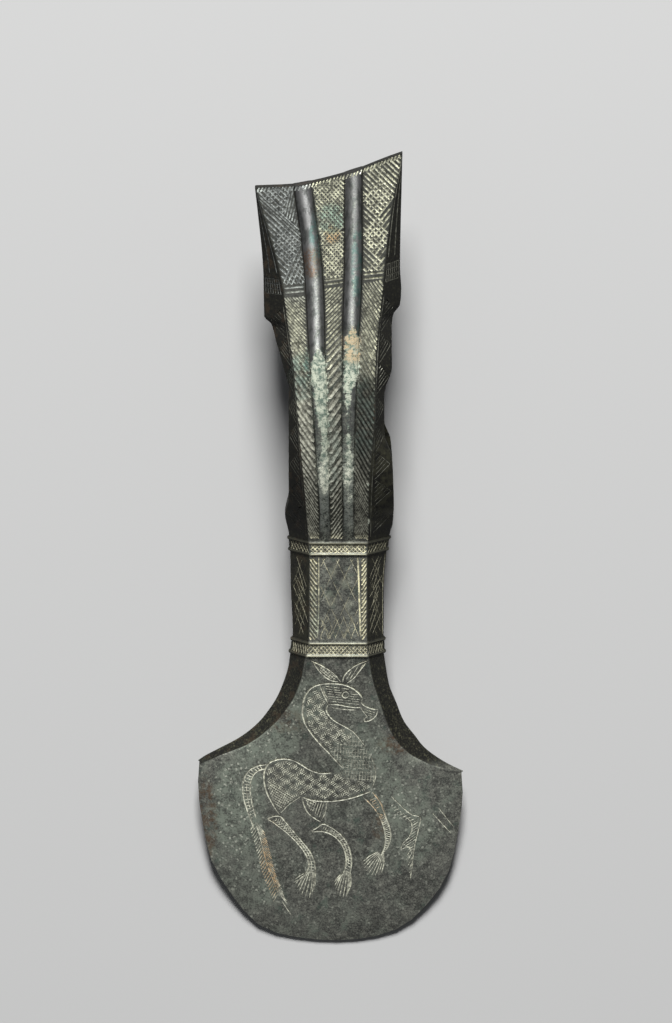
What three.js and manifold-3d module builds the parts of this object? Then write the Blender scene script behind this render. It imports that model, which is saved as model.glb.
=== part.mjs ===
// Shaft-hole axe head, one bronze casting, lying on its back.
// Millimetres. The axe's own frame has X across the blade, Y from the cutting edge to the butt
// and Z out of the decorated face. The finished group is tipped so that it rests on the floor.
import * as THREE from 'three';
import Module from 'manifold-3d';

// ---------- driving dimensions ----------
const BUTT_Y = 178;            // middle of the butt end
const BLADE_TOP = 66.8;        // where the blade leaves the lower collar
const EDGE_HALF = 0.35;        // half thickness of the cutting edge
const SLANT_FROM = 130;        // rows start to lean towards the slanted butt end here

// Haft hole, an oval that runs across the axe.
const HOLE_Y = 123;
const HOLE_HALF_Y = 20;
const HOLE_HALF_Z = 10.75;
const RIM_HALF_Y = 23.5;       // flat eye-shaped rim round the hole
const RIM_HALF_Z = 13.2;

// Raised collars: [low side, high side].
const LOWER_COLLAR = [67.1, 70.9];
const UPPER_COLLAR = [90.8, 94.3];
const COLLAR_LINE = 0.5;       // height of the two raised lines of a collar
const COLLAR_BAND = 0.18;      // height of the hatched band between them

// Carved lines.
const STROKE_WIDTH = 0.75;
const STROKE_DEPTH = 0.32;
const FINE_WIDTH = 0.55;
const FINE_DEPTH = 0.25;
const ABOVE = 0.35;            // how far a cutter stands out of the surface

// Profiles along the axe: [y, value].
const HALF_THICKNESS = [
  [66.8, 8.1], [81, 8.6], [93, 9.1], [97, 10.3], [103, 13.0], [110, 15.6], [117, 16.8],
  [123, 17.1], [130, 16.6], [137, 15.0], [144, 12.7], [151, 10.4], [160, 7.7], [169, 5.2], [178, 2.7],
];
const FACET_LEFT = [
  [66.8, 7.4], [71.5, 6.5], [90, 6.4], [97.8, 6.9], [104.3, 7.4], [125.2, 9.2], [133.3, 9.9],
  [137.3, 10.3], [140.9, 10.8], [147.4, 11.6], [151.5, 12.1], [154.6, 12.6], [158.7, 13.4],
  [164.9, 15.1], [171.2, 16.9], [178, 18.8],
];
const FACET_RIGHT = [
  [66.8, 6.9], [71.5, 6.5], [90, 6.5], [97.8, 6.9], [104.3, 6.9], [125.2, 8.3], [133, 8.4],
  [139.9, 8.8], [145.7, 9.5], [149.4, 9.9], [154.8, 10.5], [160, 11.1], [165.5, 11.9],
  [170.4, 12.9], [173.8, 13.8], [178, 14.6],
];
const SIDE_LEFT = [
  [66.8, 11.0], [71.5, 10.4], [81, 10.8], [91.1, 11.0], [94.7, 11.3], [99.6, 12.2], [103.9, 11.3],
  [130.5, 11.3], [132.4, 11.8], [137.1, 13.0], [140.8, 14.1], [144.9, 15.3],
  [146.6, 16.9], [157, 17.1], [178, 19.0],
];
const SIDE_RIGHT = [
  [66.8, 10.6], [71.5, 10.5], [81, 10.5], [91.7, 11.3], [95.9, 12.2], [97.2, 12.6], [102.1, 12.8],
  [114.7, 12.2], [119.4, 10.6], [129, 10.6], [134.2, 12.3], [142.6, 12.3], [145.2, 12.8],
  [146.5, 14.1], [149.7, 14.5], [153.4, 14.2], [178, 14.75],
];
const SIDE_FLAT = [[66.8, 1], [96, 1], [112, 4.2], [141, 5.4], [151, 5.0], [165, 3.4], [178, 1.9]];

// Butt end: how far its edge stands off BUTT_Y at each x.
const BUTT_EDGE = [
  [-19, -3.1], [-10.1, -2.7], [-6.1, -2.0], [1.6, 0], [5.6, 1.3], [10.3, 3.2], [14.75, 4.8],
];

// Ribs: middle line, half width and height.
const RIB_LEFT = [[66, -3.0], [97, -3.0], [117, -3.7], [142, -4.9], [153, -5.3], [163, -6.1], [178, -8.2]];
const RIB_RIGHT = [[66, 2.4], [97, 2.4], [117, 2.3], [142, 2.9], [160, 3.5], [178, 3.5]];
const RIB_HALF = [[66, 1.15], [97, 1.2], [117, 1.5], [137, 1.9], [152, 2.15], [178, 2.1]];
const RIB_HEIGHT = [[94.6, 0], [98, 0.45], [110, 0.85], [130, 1.15], [150, 1.3], [178, 1.2]];

// Blade outlines, from the collar to the corners: [x, y].
const BLADE_LEFT = [
  [-11.0, 66.8], [-11.5, 63.5], [-12.6, 60.1], [-14.2, 56.4], [-16.1, 53.5], [-18.4, 50.7],
  [-22.2, 47.6], [-26.9, 45.0], [-30.6, 43.1], [-32.2, 42.0],
];
const BLADE_RIGHT = [
  [10.6, 66.8], [11.0, 64.0], [11.9, 59.2], [13.4, 55.5], [15.2, 51.1], [17.6, 47.9],
  [19.9, 45.0], [24.1, 41.9], [28.8, 39.5],
];
const FLAT_LEFT = [
  [-7.4, 66.8], [-8.3, 61.7], [-9.6, 57.9], [-11.5, 54.9], [-13.8, 51.8], [-16.1, 49.4],
  [-18.9, 47.2], [-21.8, 45.4], [-24.5, 44.1], [-30.2, 42.4], [-31.9, 41.8],
];
const FLAT_RIGHT = [
  [6.9, 66.8], [7.8, 61.3], [9.4, 56.4], [11.0, 51.5], [12.8, 47.5], [15.2, 44.7],
  [18.0, 42.6], [21.8, 40.9], [28.4, 39.2],
];
const CUTTING_EDGE = [
  [-31.9, 41.8], [-32.3, 36.0], [-31.5, 29.6], [-30.3, 22.9], [-28.7, 17.4], [-26.4, 13.5],
  [-22.5, 7.9], [-18.7, 3.9], [-13.8, 1.6], [-4.1, 0.1], [1.5, 0.0], [7.3, 0.7], [14.9, 3.2],
  [19.0, 6.8], [23.8, 12.7], [26.1, 17.9], [27.6, 25.1], [28.7, 33.4], [28.4, 39.2],
];
// Half thickness of the blade from the collar (0) to the cutting edge (1).
const BLADE_THICKNESS = [
  [0, 8.1], [0.2, 6.3], [0.41, 4.6], [0.7, 2.6], [0.85, 1.6], [0.96, 0.75], [1, EDGE_HALF],
];
const BLADE_SIDE = [[0, 1], [0.6, 0.7], [1, 0.28]];
const BLADE_ROWS = [1, 0.95, 0.86, 0.74, 0.6, 0.46, 0.33, 0.2, 0.09];

// ---------- small helpers ----------
// Smooth curve through [x, value] points that never overshoots.
function profile(points) {
  const n = points.length;
  const slope = points.map(() => 0);
  const step = (i) => (points[i + 1][1] - points[i][1]) / (points[i + 1][0] - points[i][0]);
  for (let i = 1; i < n - 1; i += 1) {
    const a = step(i - 1);
    const b = step(i);
    slope[i] = a * b > 0 ? (2 * a * b) / (a + b) : 0;
  }
  slope[0] = step(0);
  slope[n - 1] = step(n - 2);
  return (x) => {
    if (x <= points[0][0]) return points[0][1];
    if (x >= points[n - 1][0]) return points[n - 1][1];
    let i = 0;
    while (x > points[i + 1][0]) i += 1;
    const w = points[i + 1][0] - points[i][0];
    const t = (x - points[i][0]) / w;
    const keep = (1 + 2 * t) * (1 - t) * (1 - t) * points[i][1] + t * t * (3 - 2 * t) * points[i + 1][1];
    return keep + w * (t * (1 - t) * (1 - t) * slope[i] - t * t * (1 - t) * slope[i + 1]);
  };
}

// Curve through flat points, read by the share of its length.
function path(points) {
  const spots = points.map(([x, y]) => new THREE.Vector3(x, y, 0));
  const curve = new THREE.CatmullRomCurve3(spots, false, 'centripetal');
  return (t) => curve.getPointAt(Math.min(1, Math.max(0, t)));
}

const mix = (a, b, t) => a + (b - a) * t;

const halfThickness = profile(HALF_THICKNESS);
const facetLeft = profile(FACET_LEFT);
const facetRight = profile(FACET_RIGHT);
const sideLeft = profile(SIDE_LEFT);
const sideRight = profile(SIDE_RIGHT);
const sideFlat = profile(SIDE_FLAT);
const buttEdge = profile(BUTT_EDGE);
const ribLeft = profile(RIB_LEFT);
const ribRight = profile(RIB_RIGHT);
const ribHalf = profile(RIB_HALF);
const ribHeight = profile(RIB_HEIGHT);
const bladeThickness = profile(BLADE_THICKNESS);
const bladeSide = profile(BLADE_SIDE);

// Row v of the body at x: the rows lean towards the slanted butt.
const lean = (v) => Math.max(0, Math.min(1, (v - SLANT_FROM) / (BUTT_Y - SLANT_FROM)));
const rowY = (v, x) => v + lean(v) * buttEdge(x);

// Half height of the flat side strip, opened into the eye-shaped rim round the haft hole.
function sideHalf(v) {
  const r = (v - HOLE_Y) / RIM_HALF_Y;
  const eye = Math.abs(r) < 1 ? RIM_HALF_Z * Math.sqrt(1 - r * r) : 0;
  return Math.max(sideFlat(v), eye);
}

// ---------- one ring of points round the axe ----------
// 13 points across the front, two on the right side, 13 across the back, two on the left side.
const ARC = [0, 0.25, 0.5, 0.75, 1];

function acrossFront(v) {
  const half = ribHalf(v);
  const rib = (c) => ARC.map((t) => [c - half * Math.cos(Math.PI * t), ribHeight(v) * Math.sin(Math.PI * t)]);
  const left = ribLeft(v);
  const right = ribRight(v);
  return [
    [-facetLeft(v), 0], ...rib(left), [(left + right) / 2, 0], ...rib(right), [facetRight(v), 0],
  ];
}

function closeRing(front, rightSide, leftSide) {
  const flip = ([x, y, z]) => [x, y, -z];
  return [
    ...front,
    rightSide, flip(rightSide),
    ...front.map(flip).reverse(),
    flip(leftSide), leftSide,
  ];
}

function bodyRing(v, grow) {
  const z = halfThickness(v) + grow;
  const front = acrossFront(v).map(([x, up]) => [x, rowY(v, x), z + up]);
  const s = sideHalf(v);
  const r = sideRight(v) + grow;
  const l = -sideLeft(v) - grow;
  return closeRing(front, [r, rowY(v, r), s], [l, rowY(v, l), s]);
}

const flatLeft = path(FLAT_LEFT);
const flatRight = path(FLAT_RIGHT);
const outLeft = path(BLADE_LEFT);
const outRight = path(BLADE_RIGHT);
const cuttingEdge = path(CUTTING_EDGE);

// The blade is spanned between the collar, the two side edges and the cutting edge.
function bladeRing(t) {
  const start = acrossFront(BLADE_TOP).map(([x]) => x);
  const wide = start[12] - start[0];
  const spread = Math.min(1, t / 0.35);
  const front = start.map((x, i) => {
    const u = mix((x - start[0]) / wide, i / 12, spread);
    const l = flatLeft(t);
    const r = flatRight(t);
    const low = cuttingEdge(u);
    const x0 = mix(mix(l.x, r.x, u), mix(start[0] + wide * u, low.x, t), 1);
    const y0 = mix(BLADE_TOP, low.y, t);
    const cx = mix(mix(start[0], start[12], u), mix(flatLeft(1).x, flatRight(1).x, u), t);
    const cy = mix(BLADE_TOP, mix(flatLeft(1).y, flatRight(1).y, u), t);
    return [mix(l.x, r.x, u) + x0 - cx, mix(l.y, r.y, u) + y0 - cy, bladeThickness(t)];
  });
  const r = outRight(t);
  const l = outLeft(t);
  return closeRing(front, [r.x, r.y, bladeSide(t)], [l.x, l.y, bladeSide(t)]);
}

function collarRows([low, high]) {
  return [
    [low, 0], [low + 0.45, COLLAR_LINE], [low + 0.95, COLLAR_BAND],
    [high - 0.95, COLLAR_BAND], [high - 0.45, COLLAR_LINE], [high, 0],
  ];
}

const BODY_ROWS = [
  [66.8, 0],
  ...collarRows(LOWER_COLLAR),
  [81, 0],
  ...collarRows(UPPER_COLLAR),
  [95.9, 0], [97.2, 0], [99.6, 0], [100.6, 0], [102.1, 0], [104.5, 0], [109, 0],
  [114.7, 0], [119.4, 0], [124, 0], [129, 0], [134.2, 0], [138.8, 0], [142.6, 0], [144.9, 0],
  [146.6, 0], [150, 0], [155, 0], [161, 0], [167, 0], [173, 0], [BUTT_Y, 0],
];

// ---------- closed solids ----------
const wasm = await Module();
wasm.setup();

function solid(points, triangles) {
  let volume = 0;
  for (let i = 0; i < triangles.length; i += 3) {
    const [a, b, c] = [points[triangles[i]], points[triangles[i + 1]], points[triangles[i + 2]]];
    volume += a[0] * (b[1] * c[2] - b[2] * c[1]);
    volume += a[1] * (b[2] * c[0] - b[0] * c[2]);
    volume += a[2] * (b[0] * c[1] - b[1] * c[0]);
  }
  const turned = [];
  for (let i = 0; i < triangles.length; i += 3) {
    const [a, b, c] = [triangles[i], triangles[i + 1], triangles[i + 2]];
    turned.push(...(volume > 0 ? [a, b, c] : [a, c, b]));
  }
  const mesh = new wasm.Mesh({
    numProp: 3,
    vertProperties: new Float32Array(points.flat()),
    triVerts: new Uint32Array(turned),
  });
  return new wasm.Manifold(mesh);
}

function stackRings(rings) {
  const n = rings[0].length;
  const points = rings.flat();
  const triangles = [];
  for (let r = 0; r + 1 < rings.length; r += 1) {
    for (let i = 0; i < n; i += 1) {
      const a = r * n + i;
      const b = r * n + ((i + 1) % n);
      triangles.push(a, b, b + n, a, b + n, a + n);
    }
  }
  // Each end is closed by a strip from the front points to the back points.
  const front = [n - 1, ...Array(13).keys(), 13];
  const back = [n - 2, ...Array.from({ length: 13 }, (_, i) => n - 3 - i), 14];
  for (const [base, turn] of [[0, true], [(rings.length - 1) * n, false]]) {
    for (let i = 0; i + 1 < front.length; i += 1) {
      const [a, b, c, d] = [front[i], front[i + 1], back[i + 1], back[i]].map((k) => base + k);
      triangles.push(...(turn ? [a, c, b, a, d, c] : [a, b, c, a, c, d]));
    }
  }
  return { points, triangles };
}

const rings = [
  ...BLADE_ROWS.map(bladeRing),
  ...BODY_ROWS.map(([v, grow]) => bodyRing(v, grow)),
];
const shell = stackRings(rings);
let axe = solid(shell.points, shell.triangles);

// Haft hole.
const HOLE_SIDES = 32;
const holePoints = [];
for (const x of [-30, 30]) {
  for (let i = 0; i < HOLE_SIDES; i += 1) {
    const a = (2 * Math.PI * i) / HOLE_SIDES;
    holePoints.push([x, HOLE_Y + HOLE_HALF_Y * Math.cos(a), HOLE_HALF_Z * Math.sin(a)]);
  }
}
const holeTriangles = [];
for (let i = 0; i < HOLE_SIDES; i += 1) {
  const j = (i + 1) % HOLE_SIDES;
  holeTriangles.push(i, j, HOLE_SIDES + j, i, HOLE_SIDES + j, HOLE_SIDES + i);
  if (i > 0 && i < HOLE_SIDES - 1) {
    holeTriangles.push(0, i + 1, i, HOLE_SIDES, HOLE_SIDES + i, HOLE_SIDES + i + 1);
  }
}
axe = axe.subtract(solid(holePoints, holeTriangles));

// ---------- carved lines ----------
// Height and outward direction of the uncarved front above [x, y].
function onFront(x, y) {
  let best = null;
  const { points, triangles } = shell;
  for (let i = 0; i < triangles.length; i += 3) {
    const [a, b, c] = [points[triangles[i]], points[triangles[i + 1]], points[triangles[i + 2]]];
    const area = (b[0] - a[0]) * (c[1] - a[1]) - (c[0] - a[0]) * (b[1] - a[1]);
    if (Math.abs(area) < 1e-6) continue;
    const u = ((x - a[0]) * (c[1] - a[1]) - (c[0] - a[0]) * (y - a[1])) / area;
    const w = ((b[0] - a[0]) * (y - a[1]) - (x - a[0]) * (b[1] - a[1])) / area;
    if (u < -1e-6 || w < -1e-6 || u + w > 1 + 1e-6) continue;
    const z = a[2] + u * (b[2] - a[2]) + w * (c[2] - a[2]);
    if (best && best.z >= z) continue;
    const p = [a, b, c].map((q) => new THREE.Vector3(...q));
    const up = p[1].sub(p[0]).cross(p[2].sub(p[0])).normalize();
    best = { z, up: up.z < 0 ? up.negate() : up };
  }
  return best;
}

// A V-shaped cutter along a line of [x, y] spots, drawn out to nothing at both ends.
function groove(spots, width, depth) {
  const line = [];
  for (const [x, y] of spots) {
    const hit = onFront(x, y);
    if (!hit) return null;
    line.push({ at: new THREE.Vector3(x, y, hit.z), up: hit.up });
  }
  const half = (width / 2) * ((depth + ABOVE) / depth);
  const points = [];
  line.forEach(({ at, up }, i) => {
    const before = line[Math.max(0, i - 1)].at;
    const after = line[Math.min(line.length - 1, i + 1)].at;
    const along = after.clone().sub(before).normalize();
    const side = along.clone().cross(up).normalize();
    const isEnd = i === 0 || i === line.length - 1;
    const reach = isEnd ? depth * 1.6 * (i === 0 ? 1 : -1) : 0;
    const left = at.clone().addScaledVector(up, ABOVE).addScaledVector(side, -half);
    const right = at.clone().addScaledVector(up, ABOVE).addScaledVector(side, half);
    const low = at.clone().addScaledVector(up, -depth).addScaledVector(along, reach);
    points.push(left.toArray(), right.toArray(), low.toArray());
  });
  const triangles = [0, 1, 2];
  for (let i = 0; i + 1 < line.length; i += 1) {
    for (let k = 0; k < 3; k += 1) {
      const a = 3 * i + k;
      const b = 3 * i + ((k + 1) % 3);
      triangles.push(a, b + 3, b, a, a + 3, b + 3);
    }
  }
  const last = 3 * (line.length - 1);
  triangles.push(last, last + 2, last + 1);
  return { points, triangles };
}

const cuts = [];
function carve(spots, width = STROKE_WIDTH, depth = STROKE_DEPTH, bothFaces = false) {
  const made = groove(spots, width, depth);
  if (!made) return;
  cuts.push(solid(made.points, made.triangles));
  if (bothFaces) cuts.push(solid(made.points.map(([x, y, z]) => [x, y, -z]), made.triangles));
}

// A spot on the body from its row and x.
const onRow = (v, x) => [x, rowY(v, x)];

// Slanting strokes between two rails, like rungs.
function rungs(from, to, pitch, leftRail, rightRail, rise, both = false, width, depth) {
  const count = Math.round((to - from) / pitch);
  for (let i = 0; i < count; i += 1) {
    const v = from + ((i + 0.5) * (to - from)) / count;
    const [vl, vr] = [v - rise / 2, v + rise / 2];
    carve([onRow(vl, leftRail(vl)), onRow(vr, rightRail(vr))], width, depth, both);
  }
}

const GAP = 0.45; // plain margin between a rail and its strokes
const strips = [
  [(v) => -facetLeft(v) + GAP, (v) => ribLeft(v) - ribHalf(v) - GAP],
  [(v) => ribLeft(v) + ribHalf(v) + GAP, (v) => ribRight(v) - ribHalf(v) - GAP],
  [(v) => ribRight(v) + ribHalf(v) + GAP, (v) => facetRight(v) - GAP],
];

// Socket: left strip falls to the right, middle rises, right falls.
rungs(97, 150.5, 2.8, ...strips[0], -1.7);
rungs(97, 151.5, 2.8, ...strips[1], 2.4);
rungs(97, 150.5, 2.8, ...strips[2], -1.7);

// Band of lines under the butt, then the butt's lattices.
[151.9, 153.1].forEach((v) => strips.forEach(([l, r]) => {
  carve([onRow(v, l(v)), onRow(v, r(v))], FINE_WIDTH, FINE_DEPTH, true);
}));
rungs(155.5, 174.5, 2.1, ...strips[0], -5.0);
rungs(156, 174.5, 4.6, ...strips[1], 4.0);
rungs(156, 174.5, 4.6, ...strips[1], -4.0);
rungs(156, 174.5, 3.7, ...strips[2], -4.0);
rungs(157, 174.5, 5.8, ...strips[2], 4.5);

// Neck: roped borders, upright lines, crossing diagonals.
const NECK = [72, 89.8];
const INNER = 4.8;
rungs(NECK[0], NECK[1], 2.4, (v) => -facetLeft(v) + 0.2, () => -INNER - 0.2, -1.5);
rungs(NECK[0], NECK[1], 2.4, () => INNER + 0.2, (v) => facetRight(v) - 0.2, 1.5);
for (const x of [-INNER, INNER]) carve([onRow(NECK[0], x), onRow(NECK[1], x)], FINE_WIDTH, FINE_DEPTH, true);
for (const [a, b] of [[0, 0.62], [0.38, 1]]) {
  const va = mix(NECK[0], NECK[1], a);
  const vb = mix(NECK[0], NECK[1], b);
  carve([onRow(va, -4.2), onRow(vb, 4.2)], FINE_WIDTH, FINE_DEPTH, true);
  carve([onRow(va, 4.2), onRow(vb, -4.2)], FINE_WIDTH, FINE_DEPTH, true);
}

// Collars: crossed hatching.
for (const [low, high] of [LOWER_COLLAR, UPPER_COLLAR]) {
  for (let i = 0; i < 6; i += 1) {
    const x = mix(-5.4, 5.4, i / 5);
    for (const s of [-0.65, 0.65]) {
      carve([[x - s, low + 1.1], [x + s, high - 1.1]], FINE_WIDTH, FINE_DEPTH, false);
    }
  }
}

// Slanted sides of the socket: rows of triangles with their points outwards.
function sideSpot(sign, v, share) {
  const inner = sign < 0 ? -facetLeft(v) : facetRight(v);
  const outer = sign < 0 ? -sideLeft(v) : sideRight(v);
  return onRow(v, mix(inner, outer, share));
}
for (const sign of [-1, 1]) {
  for (let v = 99; v < 143; v += 6.3) {
    carve([sideSpot(sign, v, 0.2), sideSpot(sign, v + 3, 0.75)], FINE_WIDTH, FINE_DEPTH);
    carve([sideSpot(sign, v + 3.3, 0.75), sideSpot(sign, v + 6, 0.2)], FINE_WIDTH, FINE_DEPTH);
  }
  carve([155, 163, 170].map((v) => sideSpot(sign, v, 0.35)), FINE_WIDTH, FINE_DEPTH, true);
}

// Notched edge of the butt.
for (let x = -17.6; x < 14; x += 1.9) {
  const y = BUTT_Y + buttEdge(x);
  carve([[x - 0.25, y - 0.02], [x + 0.15, y - 1.1]], 0.6, 0.4, false);
}

// ---------- the horse on the blade ----------
const HORSE = {
  crest: [
    [5.7, 57.4], [3.4, 59.5], [-1.8, 60.9], [-4.2, 60.6], [-6.4, 59.4], [-7.7, 57.4], [-8.2, 54.3],
    [-7.6, 51.7], [-6.4, 49.5], [-4.2, 46.9], [0, 42.3],
  ],
  leftEar: [[1.1, 61.1], [-1.5, 64.0], [-6.0, 66.0], [-3.8, 62.8], [-1.5, 61.6]],
  rightEar: [[1.4, 61.0], [3.2, 64.3], [6.6, 66.2], [5.0, 62.6], [2.3, 60.9]],
  cheek: [[-3.9, 60.3], [-3.2, 58.3], [-2.3, 56.3]],
  jaw: [[-2.3, 56.1], [0, 55.7], [2.5, 55.4], [4.9, 55.6]],
  chin: [[-1.3, 55.2], [1.7, 54.6], [4.9, 54.6]],
  muzzle: [[5.6, 57.0], [5.3, 55.9], [6.2, 54.8], [7.4, 54.3], [9.1, 54.9], [8.9, 53.5], [7.8, 52.2], [5.9, 51.9]],
  throat: [
    [-2.5, 54.9], [-2.5, 53.9], [-1.3, 51.7], [1.3, 50.4], [3.4, 49.1], [5.4, 46.6], [7.6, 43.8],
    [8.5, 40.3], [8.4, 37.0], [7.4, 34.6],
  ],
  back: [
    [0.6, 39.9], [-1.7, 39.5], [-4.2, 39.8], [-8.9, 41.8], [-11.0, 42.7], [-13.6, 42.7], [-16.6, 41.2],
    [-17.0, 37.4], [-16.4, 34.1], [-13.7, 29.4],
  ],
  belly: [[-8.0, 34.2], [-3.4, 33.0], [0, 33.3], [3.4, 33.9], [5.4, 34.4]],
  tailOut: [[-17.2, 41.4], [-18.9, 41.0], [-20.6, 39.8], [-21.7, 36.6], [-21.6, 33.0], [-19.3, 26.1], [-16.0, 17.0], [-13.8, 10.2]],
  tailIn: [[-17.8, 40.1], [-19.2, 39.4], [-20.3, 36.6], [-19.3, 30.8], [-18.0, 26.5], [-15.0, 17.8]],
  hindLeg: [
    [-16.4, 28.6], [-13.8, 26.7], [-10.0, 23.1], [-7.7, 20.8], [-6.6, 18.5], [-7.2, 16.2], [-9.7, 14.2],
    [-8.6, 9.6], [-6.4, 8.3],
  ],
  hindLegFront: [[-12.6, 29.0], [-8.4, 23.1], [-6.1, 20.8], [-5.2, 18.1], [-5.0, 15.5], [-5.3, 13.5]],
  secondHind: [[-8.3, 33.4], [-7.6, 30.8], [-6.0, 29.1], [-3.8, 27.8], [1.3, 24.3], [2.8, 21.7], [3.1, 16.0]],
  secondHindBack: [[-5.4, 25.4], [-2.5, 25.2], [0, 23.7], [1.7, 21.2], [1.7, 16.0], [-0.8, 12.8]],
  foreLeg: [[5.7, 33.9], [8.5, 31.3], [10.2, 29.1], [11.0, 26.0], [10.8, 23.0], [5.7, 17.5], [7.4, 14.3], [10.0, 13.8]],
  foreLegFront: [[8.4, 34.0], [9.7, 32.2], [12.1, 25.6], [11.9, 23.0], [10.8, 20.6]],
  farFore: [[14.0, 32.2], [17.6, 28.4], [18.6, 26.5], [17.4, 21.2], [16.5, 14.1]],
};
for (const spots of Object.values(HORSE)) carve(spots, 0.7, 0.3);
const eye = Array.from({ length: 9 }, (_, i) => {
  const a = (i / 8) * 1.85 * Math.PI;
  return [1.7 + 0.8 * Math.cos(a), 58.1 + 0.8 * Math.sin(a)];
});
carve(eye, FINE_WIDTH, FINE_DEPTH);
// Slanted strokes of the braided tail and hatching across the thigh and the neck.
for (let i = 0; i < 7; i += 1) {
  const [x, y] = [mix(-18.4, -14.3, i / 6), mix(25, 12.6, i / 6)];
  carve([[x, y], [x + 1.5, y + 1.3]], FINE_WIDTH, FINE_DEPTH);
}
for (let i = 0; i < 4; i += 1) {
  carve([[-15.8 + i * 1.4, 34 - i * 0.4], [-12.4 + i * 1.4, 41.2 - i * 0.9]], FINE_WIDTH, FINE_DEPTH);
}
for (let i = 0; i < 5; i += 1) {
  const t = i / 4;
  carve([[mix(-7.0, -1.0, t), mix(56.4, 44.4, t)], [mix(-3.6, 3.6, t), mix(58.4, 47.4, t)]], FINE_WIDTH, FINE_DEPTH);
}

for (const cut of cuts) axe = axe.subtract(cut);

// ---------- lay it on its back ----------
// It touches the floor with the back of the socket and with the cutting edge.
const under = shell.points.filter(([, y]) => y > HOLE_Y - 25);
const tip = Math.max(...under.map(([, y, z]) => Math.atan2(-z - EDGE_HALF, y)));

const out = axe.getMesh();
const geometry = new THREE.BufferGeometry();
geometry.setAttribute('position', new THREE.BufferAttribute(new Float32Array(out.vertProperties), 3));
geometry.setIndex(new THREE.BufferAttribute(new Uint32Array(out.triVerts), 1));
geometry.rotateX(tip);
geometry.computeBoundingBox();
const box = geometry.boundingBox;
geometry.translate(
  -(box.min.x + box.max.x) / 2,
  -(box.min.y + box.max.y) / 2,
  -box.min.z,
);
geometry.computeVertexNormals();

const bronze = new THREE.MeshStandardMaterial({ color: 0x4c514c, metalness: 0.85, roughness: 0.5, flatShading: true });
const head = new THREE.Mesh(geometry, bronze);
head.name = 'axe_head';

const group = new THREE.Group();
group.name = 'shaft_hole_axe_head';
group.add(head);
export default group;
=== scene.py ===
# %% [markdown]
# # A carved bronze axe head, lying on its back
# The object is one casting: a fan-shaped blade, a six-sided neck between two hatched collars, a
# socket with an oval hole for the haft, and a thin flared butt. Its broad face is covered with
# chiselled strokes, and a horse is engraved on the blade.
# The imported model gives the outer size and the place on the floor. Here the same form is rebuilt
# finely from the same named sizes, every stroke is cut into it, and the bronze gets its patina.

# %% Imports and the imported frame
import math

import bpy
import numpy as np
from mathutils import Matrix, Vector, noise
from mathutils.bvhtree import BVHTree


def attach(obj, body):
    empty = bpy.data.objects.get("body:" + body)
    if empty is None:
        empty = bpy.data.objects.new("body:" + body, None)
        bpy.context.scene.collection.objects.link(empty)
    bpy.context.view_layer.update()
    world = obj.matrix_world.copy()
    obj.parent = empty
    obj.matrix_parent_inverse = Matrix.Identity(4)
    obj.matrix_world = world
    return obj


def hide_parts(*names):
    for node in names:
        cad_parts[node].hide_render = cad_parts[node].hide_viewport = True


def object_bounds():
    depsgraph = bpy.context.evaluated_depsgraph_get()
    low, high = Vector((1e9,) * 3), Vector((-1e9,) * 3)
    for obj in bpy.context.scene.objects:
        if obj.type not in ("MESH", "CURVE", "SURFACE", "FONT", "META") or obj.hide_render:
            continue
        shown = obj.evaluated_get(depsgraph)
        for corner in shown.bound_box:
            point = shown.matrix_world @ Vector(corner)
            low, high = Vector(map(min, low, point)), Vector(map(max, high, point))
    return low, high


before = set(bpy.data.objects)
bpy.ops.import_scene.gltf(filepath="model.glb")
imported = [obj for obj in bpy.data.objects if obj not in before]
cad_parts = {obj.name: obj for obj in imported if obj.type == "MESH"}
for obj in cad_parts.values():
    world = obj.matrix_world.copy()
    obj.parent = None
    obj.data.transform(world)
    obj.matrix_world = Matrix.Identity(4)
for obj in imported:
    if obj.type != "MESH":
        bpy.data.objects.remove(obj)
cad_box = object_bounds()
print("nodes in the frame:", sorted(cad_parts))
print("frame box:", cad_box)

# %% [markdown]
# ## Curves through a few points
# A shape that changes along the axe is a short list of (place, value) pairs with a smooth curve
# through them. That is how a founder's template works, and it lets one function serve the form,
# the ribs, the carving and the patina alike. Outlines are curves through (x, y) spots.

# %% Smooth curves
def mix(a, b, t):
    return a + (b - a) * t


def clamp(value, low=0.0, high=1.0):
    return min(high, max(low, value))


def profile(pairs):
    """A smooth function through (place, value) pairs that never overshoots between them."""
    xs = [p[0] for p in pairs]
    ys = [p[1] for p in pairs]
    steps = [(ys[i + 1] - ys[i]) / (xs[i + 1] - xs[i]) for i in range(len(xs) - 1)]
    slopes = [steps[0]]
    for before, after in zip(steps, steps[1:]):
        slopes.append(2 * before * after / (before + after) if before * after > 0 else 0.0)
    slopes.append(steps[-1])

    def value(x):
        if x <= xs[0]:
            return ys[0]
        if x >= xs[-1]:
            return ys[-1]
        i = max(k for k in range(len(xs) - 1) if xs[k] <= x)
        w = xs[i + 1] - xs[i]
        t = (x - xs[i]) / w
        held = (1 + 2 * t) * (1 - t) ** 2 * ys[i] + t * t * (3 - 2 * t) * ys[i + 1]
        return held + w * (t * (1 - t) ** 2 * slopes[i] - t * t * (1 - t) * slopes[i + 1])

    return value


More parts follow.
